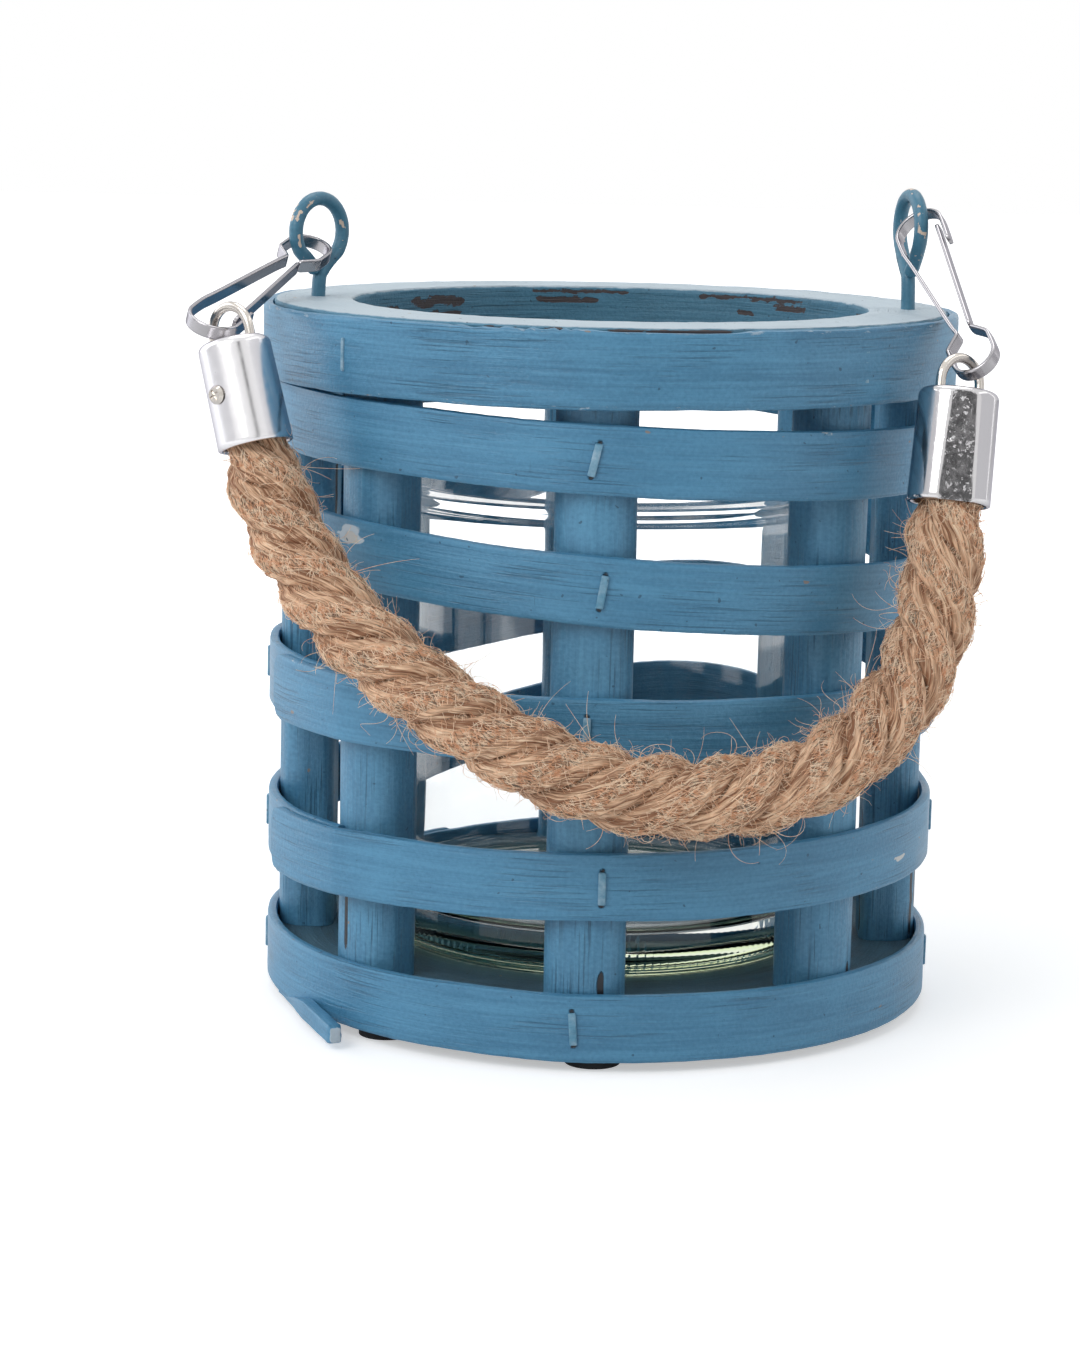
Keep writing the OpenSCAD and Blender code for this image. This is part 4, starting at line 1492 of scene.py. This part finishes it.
class Rope:
    """Three strands laid together, with fibres on and off the surface."""

    body = "handle"

    def __init__(self, plan: Plan, finishes: Finishes) -> None:
        self.plan = plan
        self.finishes = finishes
        self.line = Line(spline(ROPE_ROUTE, ROPE_SPLIT), Vector((0, 1, 0)))
        self.random = random.Random(11)
        self.from_s = self.line.at[ROPE_IN_LEFT * ROPE_SPLIT]
        self.to_s = self.line.at[(len(ROPE_ROUTE) - 1 - ROPE_IN_RIGHT) * ROPE_SPLIT]

    def squeeze(self, s: float) -> float:
        """Share of the full thickness at a distance along the rope."""
        slim = (self.plan.ferrule_r - self.plan.ferrule_wall - 0.2) / (self.plan.rope_d / 2)
        out = min(s - self.from_s, self.to_s - s)
        return slim + (1 - slim) * smooth(0.0, 5.0, out)

    def strand_centre(self, k: int, s: float) -> Tuple[Vector, Vector, Vector, float]:
        """Middle of a strand, the ways out of the rope and round it, and its share of the full thickness."""
        q, ahead, side, other = self.line.frame(s)
        phase = 2 * math.pi * (k / 3 - s / self.plan.rope_lay + 0.02 * drift(s * 0.08, k))
        out = side * math.cos(phase) + other * math.sin(phase)
        scale = self.squeeze(s)
        return q + out * (STRAND_OUT * scale), out, ahead.cross(out), scale

    def strands(self) -> bpy.types.Object:
        """The three strands as one mesh."""
        sheet = Sheet("rope_strands")
        length = self.line.length
        for k in range(3):

            def place(u: float, v: float, k: int = k) -> Spot:
                s = u * length
                c, out, way, scale = self.strand_centre(k, s)
                a = 2 * math.pi * v
                x, y = math.cos(a), math.sin(a)
                swell = 1 + 0.07 * drift(s * 0.16, k * 5.0) + 0.035 * drift(s * 0.5, k * 5.0, 3.0)
                yarn = 0.06 * math.sin(a * 7 + s * 1.05 + k)
                yarn += 0.07 * drift(x * 1.6, y * 1.6, s * 0.35 + k * 9)
                yarn += 0.05 * drift(x * 3.8, y * 3.8, s * 0.9 + k * 5)
                rr = (1 + yarn) * swell * scale
                flat = 1 - 0.06 * math.cos(2 * a)
                q = c + out * (x * STRAND_HALF[0] * rr * flat) + way * (y * STRAND_HALF[1] * rr)
                # The wear number here is how far out of the rope the point is; the material paints shade in
                # the grooves from it.
                depth = (q - self.line.frame(s)[0]).length / (self.plan.rope_d / 2 * scale)
                return q.x, q.y, q.z, smooth(0.52, 0.98, depth), 0.0

            before = set(sheet.bm.verts)
            sheet.bend(STRAND_STEPS, STRAND_SIDES, place, (length * MM, STRAND_MAP), (0.31 * k, 0.17 * k))
            self.shear(sheet, before)
        return sheet.finish("rope", self.body, self.finishes.strand(), 80)

    def shear(self, sheet: Sheet, before: Set[bmesh.types.BMVert]) -> None:
        """Turns a new strand's strip map so that its streaks run along the rope and not along the strand."""
        slope = STRAND_MAP / self.plan.rope_lay
        for f in sheet.bm.faces:
            if f.verts[0] in before:
                continue
            for loop in f.loops:
                u, v = loop[sheet.uv].uv
                loop[sheet.uv].uv = (u, v - 0.8 * slope * u / MM)

    def fibre_curve(
        self, name: str, paths: List[List[Vector]], thick: float, material: bpy.types.Material
    ) -> bpy.types.Object:
        """Many thin fibres as one curve object."""
        curve = bpy.data.curves.new(name, "CURVE")
        curve.dimensions = "3D"
        curve.bevel_depth = thick * MM
        curve.bevel_resolution = 0
        curve.resolution_u = 1
        for path in paths:
            line = curve.splines.new("POLY")
            last = len(path) - 1
            line.points.add(last)
            for i, q in enumerate(path):
                line.points[i].co = (q.x * MM, q.y * MM, q.z * MM, 1.0)
                line.points[i].radius = 1.0 - 0.6 * (i / last)
        obj = add_object(name, curve)
        curve.materials.append(material)
        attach(obj, self.body)
        log.info("%s: %d fibres", name, len(paths))
        return obj

    def surface_point(self, s: float, a: float) -> Tuple[Vector, Vector, Vector]:
        """A point on the outside of the nearest strand, the way out there, and the way ahead."""
        q, ahead, side, other = self.line.frame(s)
        out = side * math.cos(a) + other * math.sin(a)
        reach = 0.0
        for k in range(3):
            c, _, _, scale = self.strand_centre(k, s)
            off = c - q
            along_out = off.dot(out)
            across = (off - out * along_out).length
            half = 3.2 * scale
            if across < half:
                reach = max(reach, along_out + 2.8 * scale * math.sqrt(1 - (across / half) ** 2))
        return q + out * reach, out, ahead

    def lying_fibres(
        self, name: str, count: int, slant_by: float, stand: Pair, thick: float, lift: float
    ) -> bpy.types.Object:
        """Fibres that follow the surface of the rope.

        Args:
            name: the piece's name.
            count: how many fibres.
            slant_by: how far they turn off the rope's way.
            stand: how far their middles stand off at least and at most, in millimetres.
            thick: half their thickness, in millimetres.
            lift: how light they are, where 1 is the lightest.

        Returns:
            The piece.
        """
        rnd = self.random
        paths: List[List[Vector]] = []
        for _ in range(count):
            s = rnd.uniform(self.from_s - 0.5, self.to_s - 2)
            a = rnd.uniform(0, 2 * math.pi)
            reach = rnd.uniform(3, 11)
            slant = rnd.gauss(0.0, slant_by)
            off = rnd.uniform(*stand)
            bend = rnd.gauss(0.0, 0.12)
            path = []
            for i in range(LYING_STEPS + 1):
                t = i / LYING_STEPS
                arch = math.sin(math.pi * t)
                turned = a + slant * reach * t + bend * arch
                q, out, _ = self.surface_point(min(self.to_s, s + reach * t), turned)
                path.append(q + out * (off * arch + 0.02))
            paths.append(path)
        return self.fibre_curve(name, paths, thick, self.finishes.fibre(name, lift))

    def stray_fibres(
        self, name: str, count: int, long: float, curl_by: float, steps: int
    ) -> bpy.types.Object:
        """Fibres that stand off the rope and curl, thickest in a few tufts and at the ferrules.

        Args:
            name: the piece's name.
            count: how many fibres.
            long: the middle of their lengths, in millimetres.
            curl_by: how much they curl.
            steps: how many pieces each is made of.

        Returns:
            The piece.
        """
        rnd = self.random
        paths: List[List[Vector]] = []
        span = self.to_s - self.from_s
        for i in range(count):
            s = self.from_s + 0.5 + rnd.random() * (span - 1)
            a = rnd.uniform(0, 2 * math.pi)
            if i % 6 == 0:
                share, at = TUFTS[(i // 6) % len(TUFTS)]
                s = self.from_s + span * clamp(rnd.gauss(share, 0.012), 0.003, 0.99)
                a = rnd.gauss(math.radians(at), 0.8)
            q, out, ahead = self.surface_point(s, a)
            length = min(10.0, rnd.lognormvariate(math.log(long), 0.5))
            way = out * rnd.uniform(0.15, 1.0) + ahead * rnd.gauss(0, 1.0)
            way = (way + out.cross(ahead) * rnd.gauss(0, 0.6)).normalized()
            curl = Vector((rnd.gauss(0, 1), rnd.gauss(0, 1), rnd.gauss(0, 1))).normalized()
            bend = abs(rnd.gauss(0, curl_by)) + 0.04
            path = [q - out * 0.2]
            for _ in range(steps):
                way = (way + way.cross(curl) * bend + out * 0.02).normalized()
                path.append(path[-1] + way * (length / steps))
            paths.append(path)
        return self.fibre_curve(name, paths, STRAY_THICK, self.finishes.fibre("fibre_stray", 1.0))

    def build(self) -> None:
        strands = self.strands()
        share = 1
        loose = [
            self.lying_fibres("rope_fibres_laid", 2700 // share, 0.05, (0.02, 0.30), 0.075, 1.0),
            self.lying_fibres("rope_fibres_brown", 2200 // share, 0.08, (0.05, 0.40), 0.055, 0.30),
            self.lying_fibres("rope_fibres_laid_over", 2700 // share, 0.09, (0.10, 0.55), 0.050, 1.0),
            self.lying_fibres("rope_fibres_crossed", 2300 // share, 0.24, (0.15, 0.90), 0.048, 1.0),
            self.stray_fibres("rope_fibres_short", 2600 // share, 2.1, 0.34, 9),
            self.stray_fibres("rope_fibres_long", 900 // share, 4.6, 0.46, 13),
        ]
        [tuple(q * MM) for q in self.line.points]


# ---------------------------------------------------------------- studio


@dataclass(frozen=True)
class Lamp:
    """A square soft lamp that points at the lantern: its place, side in metres, power and colour."""

    name: str
    place: Point
    size: float
    power: float
    colour: Colour = (1, 1, 1)


@dataclass(frozen=True)
class Card:
    """A card of one shade that shows only as a reflection."""

    name: str
    place: Point
    size: Pair
    shade: float


LAMPS = (
    Lamp("key", (-0.55, -0.75, 0.75), 0.7, 6.0),
    Lamp("side_right", (0.95, -0.05, 0.40), 1.1, 3.9),
    Lamp("side_left", (-0.92, 0.22, 0.35), 1.1, 4.9, (0.93, 0.95, 1.0)),
    Lamp("top", (0.0, 0.25, 1.0), 0.6, 2.6),
)
CARDS = (
    Card("card_front", (0.31, -0.95, 0.30), (0.15, 0.9), 0.06),
    Card("card_left", (-0.95, -0.25, 0.20), (0.9, 1.0), 0.76),
    Card("card_right", (0.85, -0.10, 0.20), (0.9, 1.0), 0.76),
)
LOOK_AT = Vector((0, 0, 0.06))
LENS_MM = 114.866667
SENSOR_MM = 36.0
FLOOR_SIDE = 6.0


class Studio:
    """Camera, floor, world and lamps: the camera's turns in degrees and its place in metres."""

    pitch: float = 10.06
    yaw: float = -1.04
    roll: float = 1.24
    place: Point = (0.0, -0.520, 0.1403)

    def camera(self) -> None:
        """The camera at its viewing angle."""
        pitch, yaw, roll = (math.radians(a) for a in (self.pitch, self.yaw, self.roll))
        ahead = Vector((math.sin(yaw) * math.cos(pitch), math.cos(yaw) * math.cos(pitch), -math.sin(pitch)))
        level = Vector((math.cos(yaw), -math.sin(yaw), 0))
        upright = level.cross(ahead)
        right = level * math.cos(roll) + upright * math.sin(roll)
        up = upright * math.cos(roll) - level * math.sin(roll)
        data = bpy.data.cameras.new("camera")
        data.sensor_fit = "HORIZONTAL"
        data.sensor_width = SENSOR_MM
        data.lens = LENS_MM
        data.clip_start = 0.01
        obj = add_object("camera", data)
        obj.matrix_world = Matrix.Translation(self.place) @ Matrix((right, up, -ahead)).transposed().to_4x4()
        bpy.context.scene.camera = obj

    def floor(self) -> None:
        """A pale floor that keeps a soft shadow and turns white further out."""
        obj = add_object("floor", card_mesh("floor", FLOOR_SIDE, FLOOR_SIDE))
        material = bpy.data.materials.new("floor_pale")
        n = Nodes(material)
        matt = n.joined("ShaderNodeBsdfPrincipled", {"Base Color": (0.82, 0.82, 0.82), "Roughness": 0.9})
        far = n.joined("ShaderNodeVectorMath", {0: n.place()}, "Value", operation="LENGTH")
        glow = n.joined("ShaderNodeEmission", {"Strength": n.step(far, 0.12, 0.5, 0.45, 1.0)})
        dark = n.joined("ShaderNodeEmission", {"Strength": 0.0})
        camera, glass, gloss = n.seen_by("Camera", "Transmission", "Glossy")
        seen = n.math("MAXIMUM", n.math("MAXIMUM", camera, glass), n.times(gloss, 0.4))
        light = n.joined("ShaderNodeMixShader", {0: seen, 1: dark, 2: glow})
        n.output("ShaderNodeOutputMaterial", n.joined("ShaderNodeAddShader", {0: matt, 1: light}))
        obj.data.materials.append(material)

    def world(self) -> None:
        """Soft light from all round, seen as white."""
        world = bpy.data.worlds.new("studio")
        bpy.context.scene.world = world
        n = Nodes(world)
        soft = n.joined("ShaderNodeBackground", {"Color": (0.93, 0.97, 1.0), "Strength": 0.28})
        white = n.joined("ShaderNodeBackground", {"Color": (1, 1, 1), "Strength": 1.0})
        camera, glass, gloss = n.seen_by("Camera", "Transmission", "Glossy")
        seen = n.math("MAXIMUM", n.math("MAXIMUM", camera, glass), gloss)
        n.output("ShaderNodeOutputWorld", n.joined("ShaderNodeMixShader", {0: seen, 1: soft, 2: white}))

    def lamp(self, lamp: Lamp) -> None:
        """Adds a lamp."""
        data = bpy.data.lights.new(lamp.name, "AREA")
        data.size = lamp.size
        data.energy = lamp.power
        data.color = lamp.colour
        obj = add_object(lamp.name, data)
        self.aim(obj, lamp.place, "-Z")

    def card(self, card: Card) -> None:
        """Adds a card."""
        obj = add_object(card.name, card_mesh(card.name, *card.size))
        self.aim(obj, card.place, "Z")
        for seen in ("camera", "diffuse", "transmission", "shadow"):
            setattr(obj, f"visible_{seen}", False)
        material = bpy.data.materials.new(card.name)
        Nodes(material).surface(
            Base_Color=(0.01, 0.01, 0.01),
            Roughness=1.0,
            Emission_Color=(0.97, 0.97, 1.0),
            Emission_Strength=card.shade,
        )
        obj.data.materials.append(material)

    @staticmethod
    def aim(obj: bpy.types.Object, place: Point, facing: str) -> None:
        """Puts an object in its place and turns one of its axes to the lantern."""
        obj.location = place
        obj.rotation_euler = (LOOK_AT - Vector(place)).to_track_quat(facing, "Y").to_euler()

    def build(self) -> None:
        """Sets up the floor, the world, the lamps and the cards."""
        self.floor()
        self.world()
        for lamp in LAMPS:
            self.lamp(lamp)
        for card in CARDS:
            self.card(card)
        bpy.context.scene.view_settings.view_transform = "Standard"


# ---------------------------------------------------------------- main


def main() -> None:
    """Dresses the whole lantern."""
    finishes = Finishes()
    studio = Studio()
    studio.camera()
    Rope(PLAN, finishes).build()
    Basket(PLAN, finishes).build()
    Jar(PLAN, finishes).build()
    Hardware(PLAN, finishes).build()
    studio.build()


if __name__ == "__main__":
    main()
